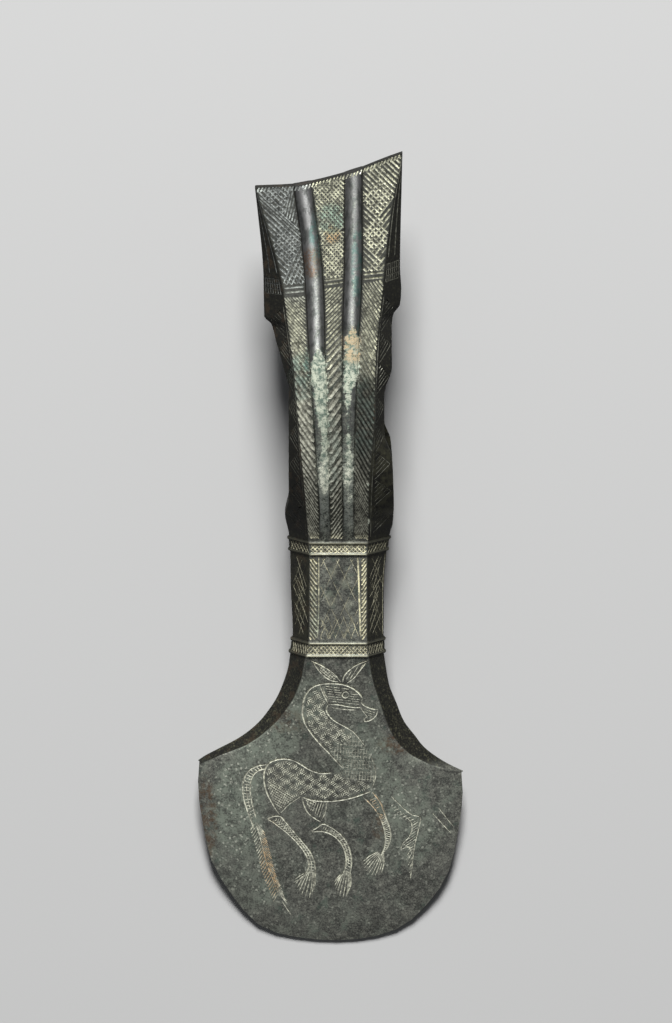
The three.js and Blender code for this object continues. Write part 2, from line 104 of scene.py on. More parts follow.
def smooth_line(spots, per_step=24):
    """Many points on a rounded curve through the spots (a centripetal Catmull-Rom curve)."""
    p = [Vector(s) for s in spots]
    p = [p[0] * 2 - p[1]] + p + [p[-1] * 2 - p[-2]]
    out = []
    for a, b, c, d in zip(p, p[1:], p[2:], p[3:]):
        t0, t1 = 0.0, max((b - a).length, 1e-6) ** 0.5
        t2 = t1 + max((c - b).length, 1e-6) ** 0.5
        t3 = t2 + max((d - c).length, 1e-6) ** 0.5
        for k in range(per_step):
            t = t1 + (t2 - t1) * k / per_step
            ab = a * ((t1 - t) / (t1 - t0)) + b * ((t - t0) / (t1 - t0))
            bc = b * ((t2 - t) / (t2 - t1)) + c * ((t - t1) / (t2 - t1))
            cd = c * ((t3 - t) / (t3 - t2)) + d * ((t - t2) / (t3 - t2))
            left = ab * ((t2 - t) / (t2 - t0)) + bc * ((t - t0) / (t2 - t0))
            right = bc * ((t3 - t) / (t3 - t1)) + cd * ((t - t1) / (t3 - t1))
            out.append(left * ((t2 - t) / (t2 - t1)) + right * ((t - t1) / (t2 - t1)))
    out.append(p[-2])
    return np.array([tuple(q) for q in out])


def lengths(line):
    """How far along a line each of its points lies."""
    return np.concatenate([[0], np.cumsum(np.linalg.norm(np.diff(line, axis=0), axis=1))])


def path(spots):
    """The same curve, read by the share of its length: path(0) is its start and path(1) its end."""
    line = smooth_line(spots)
    along = lengths(line)
    along /= along[-1]
    return lambda t: tuple(np.interp(t, along, line[:, k]) for k in range(line.shape[1]))


print("halfway between 1 and 3, smoothly:", profile([(0, 1), (1, 3)])(0.5))

# %% [markdown]
# ## Sizes
# Everything is in millimetres in the axe's own frame: X across the blade, Y from the cutting edge
# to the butt, Z out of the carved face. The facets are the broad faces' own edges, and the sides
# are the widest lines of the slanted flanks. Left and right differ, as they do on the casting.

# %% Named sizes
BUTT_Y = 178.0  # the butt's end, before its slant
BLADE_TOP = 66.8  # where the blade meets the lower collar
EDGE_HALF = 0.35  # half the thickness of the cutting edge
SLANT_FROM = 130.0  # from here on the rows lean towards the slanted end
HOLE_Y, HOLE_HALF_Y, HOLE_HALF_Z = 123.0, 20.0, 10.75
RIM_HALF_Y, RIM_HALF_Z = 23.5, 13.2
LOWER_COLLAR = (67.1, 70.9)
UPPER_COLLAR = (90.8, 94.3)
COLLAR_LINE, COLLAR_BAND = 0.5, 0.18

# Half the thickness; half the width of the broad face, and of the whole body, to either side
half_thickness = profile([
    (66.8, 8.1), (81, 8.6), (93, 9.1), (97, 10.3), (103, 13.0), (110, 15.6), (117, 16.8), (123, 17.1),
    (130, 16.6), (137, 15.0), (144, 12.7), (151, 10.4), (160, 7.7), (169, 5.2), (178, 2.7),
])
facet_left = profile([
    (66.8, 7.4), (71.5, 6.5), (90, 6.4), (97.8, 6.9), (104.3, 7.4), (125.2, 9.2), (133.3, 9.9),
    (137.3, 10.3), (140.9, 10.8), (147.4, 11.6), (151.5, 12.1), (154.6, 12.6), (158.7, 13.4),
    (164.9, 15.1), (171.2, 16.9), (178, 18.8),
])
facet_right = profile([
    (66.8, 6.9), (71.5, 6.5), (90, 6.5), (97.8, 6.9), (104.3, 6.9), (125.2, 8.3), (133, 8.4),
    (139.9, 8.8), (145.7, 9.5), (149.4, 9.9), (154.8, 10.5), (160, 11.1), (165.5, 11.9),
    (170.4, 12.9), (173.8, 13.8), (178, 14.6),
])
side_left = profile([
    (66.8, 11.0), (71.5, 10.4), (81, 10.8), (91.1, 11.0), (94.7, 11.3), (99.6, 12.2), (103.9, 11.3),
    (130.5, 11.3), (132.4, 11.8), (137.1, 13.0), (140.8, 14.1), (144.9, 15.3), (146.6, 16.9),
    (157, 17.1), (178, 19.0),
])
side_right = profile([
    (66.8, 10.6), (71.5, 10.5), (81, 10.5), (91.7, 11.3), (95.9, 12.2), (97.2, 12.6), (102.1, 12.8),
    (114.7, 12.2), (119.4, 10.6), (129, 10.6), (134.2, 12.3), (142.6, 12.3), (145.2, 12.8),
    (146.5, 14.1), (149.7, 14.5), (153.4, 14.2), (178, 14.75),
])
# Half the height of the flat strip down either side
side_flat = profile([(66.8, 1), (96, 1), (112, 4.2), (141, 5.4), (151, 5.0), (165, 3.4), (178, 1.9)])
# How far the butt's slanting end stands off BUTT_Y, by x
butt_edge = profile([
    (-19, -3.1), (-10.1, -2.7), (-6.1, -2.0), (1.6, 0), (5.6, 1.3), (10.3, 3.2), (14.75, 4.8),
])
# Ribs: middle lines, half width and height
rib_left = profile([(66, -3.0), (97, -3.0), (117, -3.7), (142, -4.9), (153, -5.3), (163, -6.1), (178, -8.2)])
rib_right = profile([(66, 2.4), (97, 2.4), (117, 2.3), (142, 2.9), (160, 3.5), (178, 3.5)])
rib_half = profile([(66, 1.15), (97, 1.2), (117, 1.5), (137, 1.9), (152, 2.15), (178, 2.1)])
rib_height = profile([(94.6, 0), (98, 0.45), (110, 0.85), (130, 1.15), (150, 1.3), (178, 1.2)])
# The blade, from the collar to its corners: the widest outline, then the broad face's own
out_left = path([
    (-11.0, 66.8), (-11.5, 63.5), (-12.6, 60.1), (-14.2, 56.4), (-16.1, 53.5), (-18.4, 50.7),
    (-22.2, 47.6), (-26.9, 45.0), (-30.6, 43.1), (-32.2, 42.0),
])
out_right = path([
    (10.6, 66.8), (11.0, 64.0), (11.9, 59.2), (13.4, 55.5), (15.2, 51.1), (17.6, 47.9), (19.9, 45.0),
    (24.1, 41.9), (28.8, 39.5),
])
FLAT_LEFT = [
    (-7.4, 66.8), (-8.3, 61.7), (-9.6, 57.9), (-11.5, 54.9), (-13.8, 51.8), (-16.1, 49.4),
    (-18.9, 47.2), (-21.8, 45.4), (-24.5, 44.1), (-30.2, 42.4), (-31.9, 41.8),
]
FLAT_RIGHT = [
    (6.9, 66.8), (7.8, 61.3), (9.4, 56.4), (11.0, 51.5), (12.8, 47.5), (15.2, 44.7), (18.0, 42.6),
    (21.8, 40.9), (28.4, 39.2),
]
flat_left, flat_right = path(FLAT_LEFT), path(FLAT_RIGHT)
cutting_edge = path([
    (-31.9, 41.8), (-32.3, 36.0), (-31.5, 29.6), (-30.3, 22.9), (-28.7, 17.4), (-26.4, 13.5),
    (-22.5, 7.9), (-18.7, 3.9), (-13.8, 1.6), (-4.1, 0.1), (1.5, 0.0), (7.3, 0.7), (14.9, 3.2),
    (19.0, 6.8), (23.8, 12.7), (26.1, 17.9), (27.6, 25.1), (28.7, 33.4), (28.4, 39.2),
])
# Half thickness of the blade and of its side strips, from the collar (0) to the edge (1)
blade_thickness = profile([
    (0, 8.1), (0.2, 6.3), (0.41, 4.6), (0.7, 2.6), (0.85, 1.6), (0.96, 0.75), (1, EDGE_HALF),
])
blade_side = profile([(0, 1), (0.6, 0.7), (1, 0.28)])
print("neck width at 81 mm:", side_left(81) + side_right(81))

# %% [markdown]
# ## The form
# The axe is a stack of closed rings, from the cutting edge to the butt. Each ring has the same
# number of points, so neighbours join into quads and the skin is closed at once. The same could be
# modelled by hand from a subdivided cube, but rings keep the facets, the ribs and the outline
# exact. Every edge between two facets gets three points instead of one: a worn casting has no
# knife-sharp edges, and the small round catches the light.

# %% Rings
STRIP_STEPS, RIB_STEPS, SLOPE_STEPS, RIM_STEPS = 3, 8, 3, 2
WORN_EDGE, WORN_ROUND = 0.3, 0.27  # how far the wear reaches from a facet's edge, and how round it is
FLARE_SHARE = 0.35  # the part of the blade over which its columns even out
RAISED_LINE = 0.9  # width of a collar's raised line


def lean(v):
    """Rows lean more and more towards the slanted butt end."""
    return clamp((v - SLANT_FROM) / (BUTT_Y - SLANT_FROM))


def row_y(v, x):
    return v + lean(v) * butt_edge(x)


def by_y(x_of_row, low=BLADE_TOP):
    """The same x, read by its true place along Y instead of by its row."""
    rows = np.linspace(low, BUTT_Y, 120)
    xs = [x_of_row(v) for v in rows]
    ys = [row_y(v, x) for v, x in zip(rows, xs)]
    return lambda y: float(np.interp(y, ys, xs))


def side_half(v):
    """Half height of the flat side strip, which opens into the eye-shaped rim of the haft hole."""
    r = (v - HOLE_Y) / RIM_HALF_Y
    eye = RIM_HALF_Z * math.sqrt(1 - r * r) if abs(r) < 1 else 0.0
    return max(side_flat(v), eye)


def across(v):
    """(x, height) spots over the broad face, over both ribs."""
    half, high = rib_half(v), rib_height(v)
    left, right = rib_left(v), rib_right(v)
    spots = []

    def plain(x0, x1):
        spots.extend((mix(x0, x1, i / STRIP_STEPS), 0.0) for i in range(STRIP_STEPS))

    def rib(x):
        for i in range(RIB_STEPS):
            turn = math.pi * i / RIB_STEPS
            spots.append((x - half * math.cos(turn), high * math.sin(turn)))

    plain(-facet_left(v), left - half)
    rib(left)
    plain(left + half, right - half)
    rib(right)
    plain(right + half, facet_right(v))
    spots.append((facet_right(v), 0.0))
    return spots


def close_ring(front, right, left):
    """A whole ring from its front points and the two side spots, with worn edges."""
    front = [Vector(p) for p in front]
    right, left = Vector(right), Vector(left)
    flip = Vector((1, 1, -1))
    back = [p * flip for p in reversed(front)]

    def between(a, b, n):
        return [a.lerp(b, i / n) for i in range(1, n)]

    corners = [front[-1], right, right * flip, back[0], back[-1], left * flip, left, front[0]]
    runs = [
        between(front[-1], right, SLOPE_STEPS), between(right, right * flip, RIM_STEPS),
        between(right * flip, back[0], SLOPE_STEPS), back[1:-1],
        between(back[-1], left * flip, SLOPE_STEPS), between(left * flip, left, RIM_STEPS),
        between(left, front[0], SLOPE_STEPS), front[1:-1],
    ]
    ring = []
    for k, corner in enumerate(corners):
        before, after = runs[k - 1][-1] - corner, runs[k][0] - corner
        reach = min(WORN_EDGE, 0.4 * before.length, 0.4 * after.length)
        a, b = before.normalized() * reach, after.normalized() * reach
        ring += [corner + a, corner + (a + b) * WORN_ROUND, corner + b] + runs[k]
    return [tuple(p) for p in ring]


def collar_rise(v):
    """Two raised lines and the low band between them, on either collar."""
    for low, high in (LOWER_COLLAR, UPPER_COLLAR):
        if low < v < high:
            near = min(v - low, high - v)
            arch = math.sin(math.pi * (near / RAISED_LINE)) ** 0.7 if near < RAISED_LINE else 0.0
            line = COLLAR_LINE * arch
            return max(line, COLLAR_BAND if near > RAISED_LINE / 2 else 0.0)
    return 0.0


def body_ring(v):
    rise = collar_rise(v)
    z = half_thickness(v) + rise
    right, left = side_right(v) + rise, -side_left(v) - rise
    front = [(x, row_y(v, x), z + up) for x, up in across(v)]
    s = side_half(v)
    return close_ring(front, (right, row_y(v, right), s), (left, row_y(v, left), s))


def blade_ring(t):
    """One row of the blade, spanned between its collar, sides and cutting edge."""
    start = [x for x, _ in across(BLADE_TOP)]
    wide = start[-1] - start[0]
    fl, fr = flat_left(t), flat_right(t)
    el, er = flat_left(1), flat_right(1)
    front = []
    for i, x in enumerate(start):
        u = mix((x - start[0]) / wide, i / (len(start) - 1), min(1, t / FLARE_SHARE))
        low = cutting_edge(u)
        px = mix(fl[0], fr[0], u) + t * (low[0] - mix(el[0], er[0], u))
        py = mix(fl[1], fr[1], u) + t * (low[1] - mix(el[1], er[1], u))
        front.append((px, py, blade_thickness(t)))
    s = blade_side(t)
    return close_ring(front, (*out_right(t), s), (*out_left(t), s))


def spread(start, end, step):
    n = max(1, round(abs(end - start) / step))
    return [mix(start, end, i / n) for i in range(n)]


STEPS_IN_COLLAR = (0, 0.1, 0.25, 0.45, 0.65, 0.8, 0.88)  # rows from either border of a collar


def collar_rows(low, high):
    return [low + s for s in STEPS_IN_COLLAR] + [high - s for s in STEPS_IN_COLLAR[:0:-1]]


blade_rows = [1, 0.993, 0.98] + spread(0.96, 0.0, 0.03)
body_rows = (
    [BLADE_TOP] + collar_rows(*LOWER_COLLAR) + spread(LOWER_COLLAR[1], UPPER_COLLAR[0], 1.5)
    + collar_rows(*UPPER_COLLAR) + spread(UPPER_COLLAR[1], 105, 0.8) + spread(105, 141, 1.5)
    + spread(141, 148, 0.7) + spread(148, BUTT_Y, 2.0) + [BUTT_Y]
)
rings = [blade_ring(t) for t in blade_rows] + [body_ring(v) for v in body_rows]
print(len(rings), "rings of", len(rings[0]), "points")

# %% [markdown]
# ## From rings to one closed skin
# Rows of quads join the rings, and each end is closed by a strip from the front points to the
# points straight behind them. The casting is then made a little uneven: a slow noise presses the
# skin in by a few hundredths of a millimetre, which breaks the long straight reflections.

# %% The skin
UNEVEN = 0.07  # how far the slow noise presses the skin in, at most


def stack(rings):
    n = len(rings[0])
    points = [p for ring in rings for p in ring]
    faces = []
    for r in range(len(rings) - 1):
        a = r * n
        faces += [(a + i, a + (i + 1) % n, a + n + (i + 1) % n, a + n + i) for i in range(n)]
    # Each end is closed by a strip: from the middle of the right side, walk the ring both ways.
    first = 3 + SLOPE_STEPS - 1 + 3 + RIM_STEPS // 2 - 1
    pairs = [((first - k) % n, (first + k) % n) for k in range(n // 2 + 1)]
    for base, turn in ((0, False), ((len(rings) - 1) * n, True)):
        for (a, b), (c, d) in zip(pairs, pairs[1:]):
            face = list(dict.fromkeys((base + a, base + c, base + d, base + b)))
            faces.append(tuple(reversed(face)) if turn else tuple(face))
    return points, faces


def new_object(name, points, faces, edges=()):
    mesh = bpy.data.meshes.new(name)
    mesh.from_pydata(points, edges, faces)
    mesh.update()
    thing = bpy.data.objects.new(name, mesh)
    bpy.context.scene.collection.objects.link(thing)
    return thing


def face_outwards(mesh):
    """Turns a closed mesh the right way out, by the sign of its volume."""
    mesh.calc_loop_triangles()
    co = np.array([v.co for v in mesh.vertices])
    tri = np.array([t.vertices for t in mesh.loop_triangles])
    volume = np.einsum("ij,ij->i", co[tri[:, 0]], np.cross(co[tri[:, 1]], co[tri[:, 2]])).sum() / 6
    if volume < 0:
        mesh.flip_normals()
    return abs(volume)


skin = new_object("axe_skin", *stack(rings))
volume = face_outwards(skin.data)
skin.data.update()
for vertex, normal in [(v, v.normal.copy()) for v in skin.data.vertices]:
    slow = noise.noise(vertex.co * 0.16) + 0.5 * noise.noise(vertex.co * 0.5)
    vertex.co -= normal * UNEVEN * (0.5 + 0.5 * slow)
print("skin:", len(skin.data.polygons), "faces,", round(volume / 1000, 1), "cm3 before the hole")

# %% [markdown]
# ## The haft hole
# The hole is an oval that runs from side to side. It is cut by a solid oval bar, slightly wider at
# its mouths, so that the rims have the soft lead-in that years of re-hafting leave. A Boolean
# modifier does the cutting. Its Manifold solver is the fast one, and it only asks that both
# meshes are closed.

# %% The bar that cuts the hole
HOLE_SIDES = 96
FLARE = 0.45  # how much wider the bar is at the hole's mouths
bar_rings = []
for x, grow in ((-30, FLARE), (-11.35, FLARE), (-10.7, 0.0), (10.0, 0.0), (10.65, FLARE), (30, FLARE)):
    bar_rings.append([
        (x, HOLE_Y + (HOLE_HALF_Y + grow) * math.cos(a), (HOLE_HALF_Z + grow) * math.sin(a))
        for a in (2 * math.pi * i / HOLE_SIDES for i in range(HOLE_SIDES))
    ])
bar_points = [p for ring in bar_rings for p in ring]
bar_faces = [
    (r * HOLE_SIDES + i, r * HOLE_SIDES + (i + 1) % HOLE_SIDES,
     (r + 1) * HOLE_SIDES + (i + 1) % HOLE_SIDES, (r + 1) * HOLE_SIDES + i)
    for r in range(len(bar_rings) - 1) for i in range(HOLE_SIDES)
]
bar_faces += [tuple(range(HOLE_SIDES))[::-1], tuple(range(len(bar_points) - HOLE_SIDES, len(bar_points)))]
hole_bar = new_object("haft_hole_bar", bar_points, bar_faces)
face_outwards(hole_bar.data)
print("hole bar:", len(bar_faces), "faces")

# %% [markdown]
# ## Where a chisel touches
# The decoration is drawn flat, as (x, y) spots seen from above, and each spot is dropped straight
# down onto the skin. A ray cast against a search tree of the skin's faces gives the point and the
# direction the surface faces there. The back of the axe is reached from below in the same way.

# %% Dropping spots on the skin
skin.data.calc_loop_triangles()
SKY = 60.0  # rays start this far out
surface = BVHTree.FromPolygons(
    [v.co.copy() for v in skin.data.vertices],
    [tuple(t.vertices) for t in skin.data.loop_triangles],
)


def touch(x, y, face=1):
    """(point, outward direction) on the front (face 1) or the back (face -1), or None."""
    hit, normal, _, _ = surface.ray_cast(Vector((x, y, SKY * face)), Vector((0, 0, -face)))
    if hit is None:
        return None
    return hit, normal if normal.z * face > 0 else -normal


print("front of the socket above the hole:", touch(0, HOLE_Y)[0])

# %% [markdown]
# ## Sorting strokes into sets
# Hatching is two families of strokes that cross. A Boolean cutter must not overlap itself, so
# strokes that cross have to be cut one after the other. Each new stroke goes into the first set in
# which it stays clear of all the others. A few sets are enough for over a thousand strokes.

# %% Collecting strokes and lines
CLEAR = 0.05  # plain metal between two strokes of one set
SHORTEST = 0.45  # no stroke is shorter
# Chisel sizes: width and depth of the cut
BAR, DEEP, NET, HATCH = (0.6, 0.26), (0.46, 0.24), (0.36, 0.2), (0.34, 0.18)
LINE, FINE, HAIR, THIN = (0.32, 0.17), (0.25, 0.13), (0.19, 0.1), (0.14, 0.07)


class StrokeSets:
    """Sets of cutters in which no two touch. A stroke is kept as a row of flat segments."""

    def __init__(self):
        self.sets = []

    def add(self, spots, width, face, item):
        """Files an item, whose trace on the face runs through the flat spots."""
        a, b = np.array(spots[:-1], float), np.array(spots[1:], float)
        for known in self.sets:
            if not self.meets(known, a, b, width, face):
                break
        else:
            known = {
                "a": np.zeros((0, 2)), "b": np.zeros((0, 2)), "w": np.zeros(0), "f": np.zeros(0), "items": [],
            }
            self.sets.append(known)
        known["a"], known["b"] = np.vstack([known["a"], a]), np.vstack([known["b"], b])
        known["w"] = np.append(known["w"], [width] * len(a))
        known["f"] = np.append(known["f"], [face] * len(a))
        known["items"].append(item)

    @staticmethod
    def meets(known, a, b, width, face):
        low, high = np.minimum(a, b).min(0) - width, np.maximum(a, b).max(0) + width
        near = known["f"] == face
        near &= (np.minimum(known["a"], known["b"]) - known["w"][:, None] < high).all(1)
        near &= (np.maximum(known["a"], known["b"]) + known["w"][:, None] > low).all(1)
        if not near.any():
            return False
        ka, run, kw = known["a"][near], (known["b"] - known["a"])[near], known["w"][near]
        for p, q in zip(a, b):
            shares = np.linspace(0, 1, max(2, int(np.hypot(*(q - p)) / 0.25) + 2))
            spots = p + (q - p) * shares[:, None]
            off = spots[:, None, :] - ka[None]
            t = np.clip((off * run).sum(2) / np.maximum((run * run).sum(1), 1e-9), 0, 1)
            gap = np.linalg.norm(off - run * t[..., None], axis=2)
            if (gap < (kw + width) / 2 + CLEAR).any():
                return True
        return False

    def count(self):
        return sum(len(s["items"]) for s in self.sets)


straight, curved = StrokeSets(), StrokeSets()


def chisel(start, end, size=HATCH, face=1, past=(0, 0), sink=(0, 0)):
    """One straight stroke. It may run past its ends, and start or end deeper than the skin."""
    ends = [touch(*start, face), touch(*end, face)]
    if None in ends:
        return
    p, q = ends[0][0], ends[1][0]
    reach = (q - p).length
    if reach < SHORTEST:
        return
    half_way, way = p.lerp(q, 0.5), (q - p).normalized()
    up = (touch(half_way.x, half_way.y, face) or ends[0])[1]
    # Over a hollow the stroke is pressed down; over a deep one it is made in two goes.
    lowest = 0.0
    for share in (0.2, 0.35, 0.5, 0.65, 0.8):
        chord = p.lerp(q, share)
        hit = touch(chord.x, chord.y, face)
        lowest = min(lowest, (hit[0] - chord).dot(up)) if hit else lowest
    if lowest < -0.1 and reach > 1.6:
        chisel(start, half_way[:2], size, face, (past[0], 0.1), (sink[0], 0))
        chisel(half_way[:2], end, size, face, (0.1, past[1]), (0, sink[1]))
        return
    p = p - way * past[0] + up * (lowest - sink[0])
    q = q + way * past[1] + up * (lowest - sink[1])
    straight.add([p[:2], q[:2]], size[0], face, (p, q - p, up, *size))


def grave(spots, size=LINE, face=1, step=0.5):
    """One long engraved line through flat spots."""
    line = smooth_line(spots, 12)
    along = lengths(line)
    at = np.linspace(0, along[-1], max(4, int(along[-1] / step)) + 1)
    flat = zip(np.interp(at, along, line[:, 0]), np.interp(at, along, line[:, 1]))
    hits = [hit for hit in (touch(x, y, face) for x, y in flat) if hit is not None]
    if len(hits) > 3:
        curved.add([h[0][:2] for h in hits], size[0], face, (hits, *size))


def on_row(v, x):
    return (x, row_y(v, x))


# %% [markdown]
# ## Strokes like rungs, and fields of strokes
# Most of the ornament is rungs: strokes at a slant between two rails, such as the edge of a facet
# and the foot of a rib. The distance between rungs follows a curve, because the maker's spacing
# grows from the butt to the middle of the socket and shrinks again. The rest is fields: parallel
# strokes over an outline, keeping what falls inside it. A little unevenness in place and slant
# keeps it hand-made, and the random numbers have a fixed seed.

# %% Rungs and fields
hand = np.random.default_rng(7)


def rungs(low, high, pitch, rails, rise, size=HATCH, face=1, uneven=0.07, past=(0, 0), sink=(0, 0)):
    """Strokes from the left rail to the right rail; the right end is higher by rise."""
    widest = abs(rise(high) if callable(rise) else rise) / 2
    v = low - widest + 0.4
    while v < high + widest:
        step = pitch(v) if callable(pitch) else pitch
        lift = rise(v) if callable(rise) else rise
        cut = size(v) if callable(size) else size
        wobble = hand.uniform(-1, 1, 4) * uneven * step
        a, b = v - lift / 2 + wobble[0], v + lift / 2 + wobble[1]
        xl, xr = rails[0](a) + abs(wobble[2]), rails[1](b) - abs(wobble[3])
        shares = sorted(clamp((edge - a) / (b - a)) for edge in (low, high))
        ends = [on_row(mix(a, b, s), mix(xl, xr, s)) for s in shares]
        if shares[1] - shares[0] > 0.12 and xr > xl:
            kept = [past[0] if shares[0] == 0 else 0, past[1] if shares[1] == 1 else 0]
            chisel(ends[0], ends[1], cut, face, kept, sink)
        v += step


def inside(x, y, outline):
    """Whether the spot lies inside the closed outline: a ray from it crosses an odd number of edges."""
    hit = False
    for (x0, y0), (x1, y1) in zip(outline, outline[1:] + outline[:1]):
        if (y0 > y) != (y1 > y) and x < (x1 - x0) * (y - y0) / (y1 - y0) + x0:
            hit = not hit
    return hit


GAP = 0.12  # plain metal between a stroke and a rail
STRIPS = [
    (lambda v: -facet_left(v) + GAP, lambda v: rib_left(v) - rib_half(v) - GAP),
    (lambda v: rib_left(v) + rib_half(v) + GAP, lambda v: rib_right(v) - rib_half(v) - GAP),
    (lambda v: rib_right(v) + rib_half(v) + GAP, lambda v: facet_right(v) - GAP),
]
RAILS = [(by_y(a), by_y(b)) for a, b in STRIPS]
PROBE = 0.15  # a field is felt out in steps this long


def fill(outline, angle, pitch, size=HAIR, longest=99.0, face=1, start=0.0, strip=None, bare=()):
    """Parallel strokes over a closed outline, and over one strip only if its number is given.

    Whatever is in bare stays free: outlines, or functions of x and y. A stroke is broken where it
    is longer than longest."""
    centre = np.mean(outline, axis=0)
    along = np.array([math.cos(math.radians(angle)), math.sin(math.radians(angle))])
    over = np.array([-along[1], along[0]])
    reach = max(np.hypot(*(np.array(p) - centre)) for p in outline)

    def covers(x, y):
        if strip is not None and not RAILS[strip][0](y) < x < RAILS[strip][1](y):
            return False
        if y > BUTT_Y + butt_edge(x) - 0.1:
            return False
        free = any(part(x, y) if callable(part) else inside(x, y, part) for part in bare)
        return inside(x, y, outline) and not free

    offset = start - math.floor(reach / pitch) * pitch
    while offset < reach:
        begin = None
        for t in np.arange(-reach, reach + 2 * PROBE, PROBE):
            spot = centre + over * offset + along * t
            within = covers(*spot)
            if begin is None:
                begin = spot if within else None
                continue
            length = np.hypot(*(spot - begin))
            if not within or length > longest:
                if length > 0.5:
                    end = spot if not within else begin + (spot - begin) * 0.93
                    chisel(tuple(begin), tuple(end), size, face)
                begin = None
        offset += pitch * (1 + hand.uniform(-0.06, 0.06))


def strip_outline(strip, low, high):
    """The closed outline of a strip between two rows."""
    vs = np.linspace(low, high, 8)
    return [on_row(v, strip[0](v)) for v in vs] + [on_row(v, strip[1](v)) for v in vs[::-1]]


# %% [markdown]
# ## The socket's three strips
# Falling strokes on the left and right strips and rising ones in the middle give a herring-bone.
# The strokes on the outer strips run out over the edge of the facet, which makes it look sawn.
# Thin lines fill the wide gaps lower down.

# %% Herring-bone strokes
# Distance between the strokes of each strip, by row
PITCHES = [
    profile([
        (95, 0.95), (104, 1.05), (109, 1.55), (114, 2.0), (128, 2.05), (133, 1.6), (139, 1.2),
        (146, 0.95), (151, 0.82),
    ]),
    profile([
        (95, 1.1), (104, 1.35), (109, 1.9), (114, 2.45), (128, 2.5), (133, 2.1), (139, 1.5),
        (145, 1.0), (153, 0.8),
    ]),
    profile([
        (95, 0.8), (104, 0.85), (108, 1.3), (114, 1.6), (128, 1.55), (135, 1.35), (142, 1.0), (154, 0.9),
    ]),
]
RISES = (-5.2, profile([(95, 4.2), (125, 4.0), (150, 3.4)]), -6.0)
BACK_SPREAD = 2.0  # the back's strokes stand this much wider apart
STRIP_LOW = 95.0
BELOW_BAND = 0.4
# For each strip: the row of its band, the stroke's share of the pitch, and how it leaves its ends
HERRING = [
    (152.5, 0.58, (0.7, 0), (0.04, -0.05)), (153.7, 0.52, (0, 0), (0, 0)),
    (153.7, 0.52, (0, 0.6), (-0.03, 0.03)),
]


def stroke_size(pitch, share):
    return lambda v: (min(1.3, pitch(v) * share), min(0.34, pitch(v) * 0.28))


for face in (1, -1):
    for strip, spacing, rise, (band, share, past, sink) in zip(STRIPS, PITCHES, RISES, HERRING):
        pitch = spacing if face > 0 else (lambda v, p=spacing: p(v) * BACK_SPREAD)
        rungs(STRIP_LOW, band - BELOW_BAND, pitch, strip, rise, stroke_size(spacing, share), face,
              past=past, sink=sink)
fill(strip_outline(STRIPS[2], 95.2, 106), 58, 1.0, FINE)
# Hair lines between the broad strokes, lower down
for strip, low, high, pitch, rise in (
    (STRIPS[0], 99.0, 130.0, 1.15, -6.4), (STRIPS[1], 100.0, 122.0, 1.3, 4.8),
    (STRIPS[2], 108.0, 130.0, 1.15, -6.8),
):
    rungs(low, high, pitch, strip, rise, THIN)
print("strokes so far:", straight.count(), "in", len(straight.sets), "sets")

# %% [markdown]
# ## The butt: bands and woven fields
# Above the strips run two lines across. Over them the whole butt is woven over with
# crossed strokes. Two families of slanting strokes cover it, and each leaves out the triangles
# that belong to the other, so that nets and plain slanting bars take turns down both sides.

# %% Butt fields
BAND_LINES = [
    (-12.2, 152.7, -7.7, 153.1), (-12.1, 151.7, -7.7, 152.1), (-3.1, 154.4, 1.1, 155.0),
    (-3.1, 153.5, 1.1, 154.1), (5.8, 155.8, 10.4, 156.3), (5.8, 154.8, 10.4, 155.2),
]
for face in (1, -1):
    for x0, y0, x1, y1 in BAND_LINES:
        chisel((x0, y0), (x1, y1), DEEP, face)

BUTT_LEFT = [(-19, 175.0), (-7, 175.4), (-7, 153.7), (-14, 153.4)]
BUTT_RIGHT = [(5, 178.4), (7, 179.8), (14.7, 183), (14, 170), (10.7, 156.8), (5, 156.4)]
FAN = [(-10.8, 176), (-6, 176), (-7.4, 164.4), (-12.3, 168.9), (-11.7, 172)]
BELOW_RIDGE = [(-8.0, 163.0), (-7, 165), (-7, 153.7), (-12.9, 153.4), (-12.2, 154.2), (-10.9, 157.5)]
RIDGES = [(-18.6, 173.7), (-7.4, 164.4), (-7.4, 162.8), (-18.6, 171.9)]
# Plain bars on the left: the rising family stays out of these two triangles.
BARS_LEFT = [
    [(-18.6, 173.0), (-13.5, 167.9), (-13.2, 167.0), (-14.8, 163.0), (-15.6, 163.0)],
    [(-14.3, 160.2), (-11.1, 157.0), (-12.9, 152.6), (-14.5, 152.6)],
]
fill(BUTT_LEFT, -42, 0.93, BAR, strip=0, bare=[FAN, RIDGES, BELOW_RIDGE])
fill(BUTT_LEFT, 50, 0.82, DEEP, strip=0, bare=[FAN, RIDGES, BELOW_RIDGE, *BARS_LEFT])
fill(FAN, 77, 0.62, NET, strip=0, bare=[RIDGES])
for y in (173.1, 172.3):  # two long ridges
    chisel((-18.0, y), (-8.5, y - 8.45), (0.44, 0.24))
fill(BELOW_RIDGE, 66, 0.98, DEEP, strip=0)
fill(BELOW_RIDGE, -42, 0.75, FINE, strip=0)
chisel((-12.4, 153.9), (-8.4, 162.9), DEEP)

# Between the ribs the net changes weight half way up.
for low, high, angle, pitch, size in (
    (166.0, 177.6, -48, 0.72, (0.42, 0.22)), (155.4, 166.0, -48, 0.72, LINE),
    (168.0, 177.6, 46, 0.66, (0.3, 0.16)), (155.4, 168.0, 46, 0.64, (0.38, 0.2)),
):
    fill(strip_outline(STRIPS[1], low, high), angle, pitch, size, strip=1)

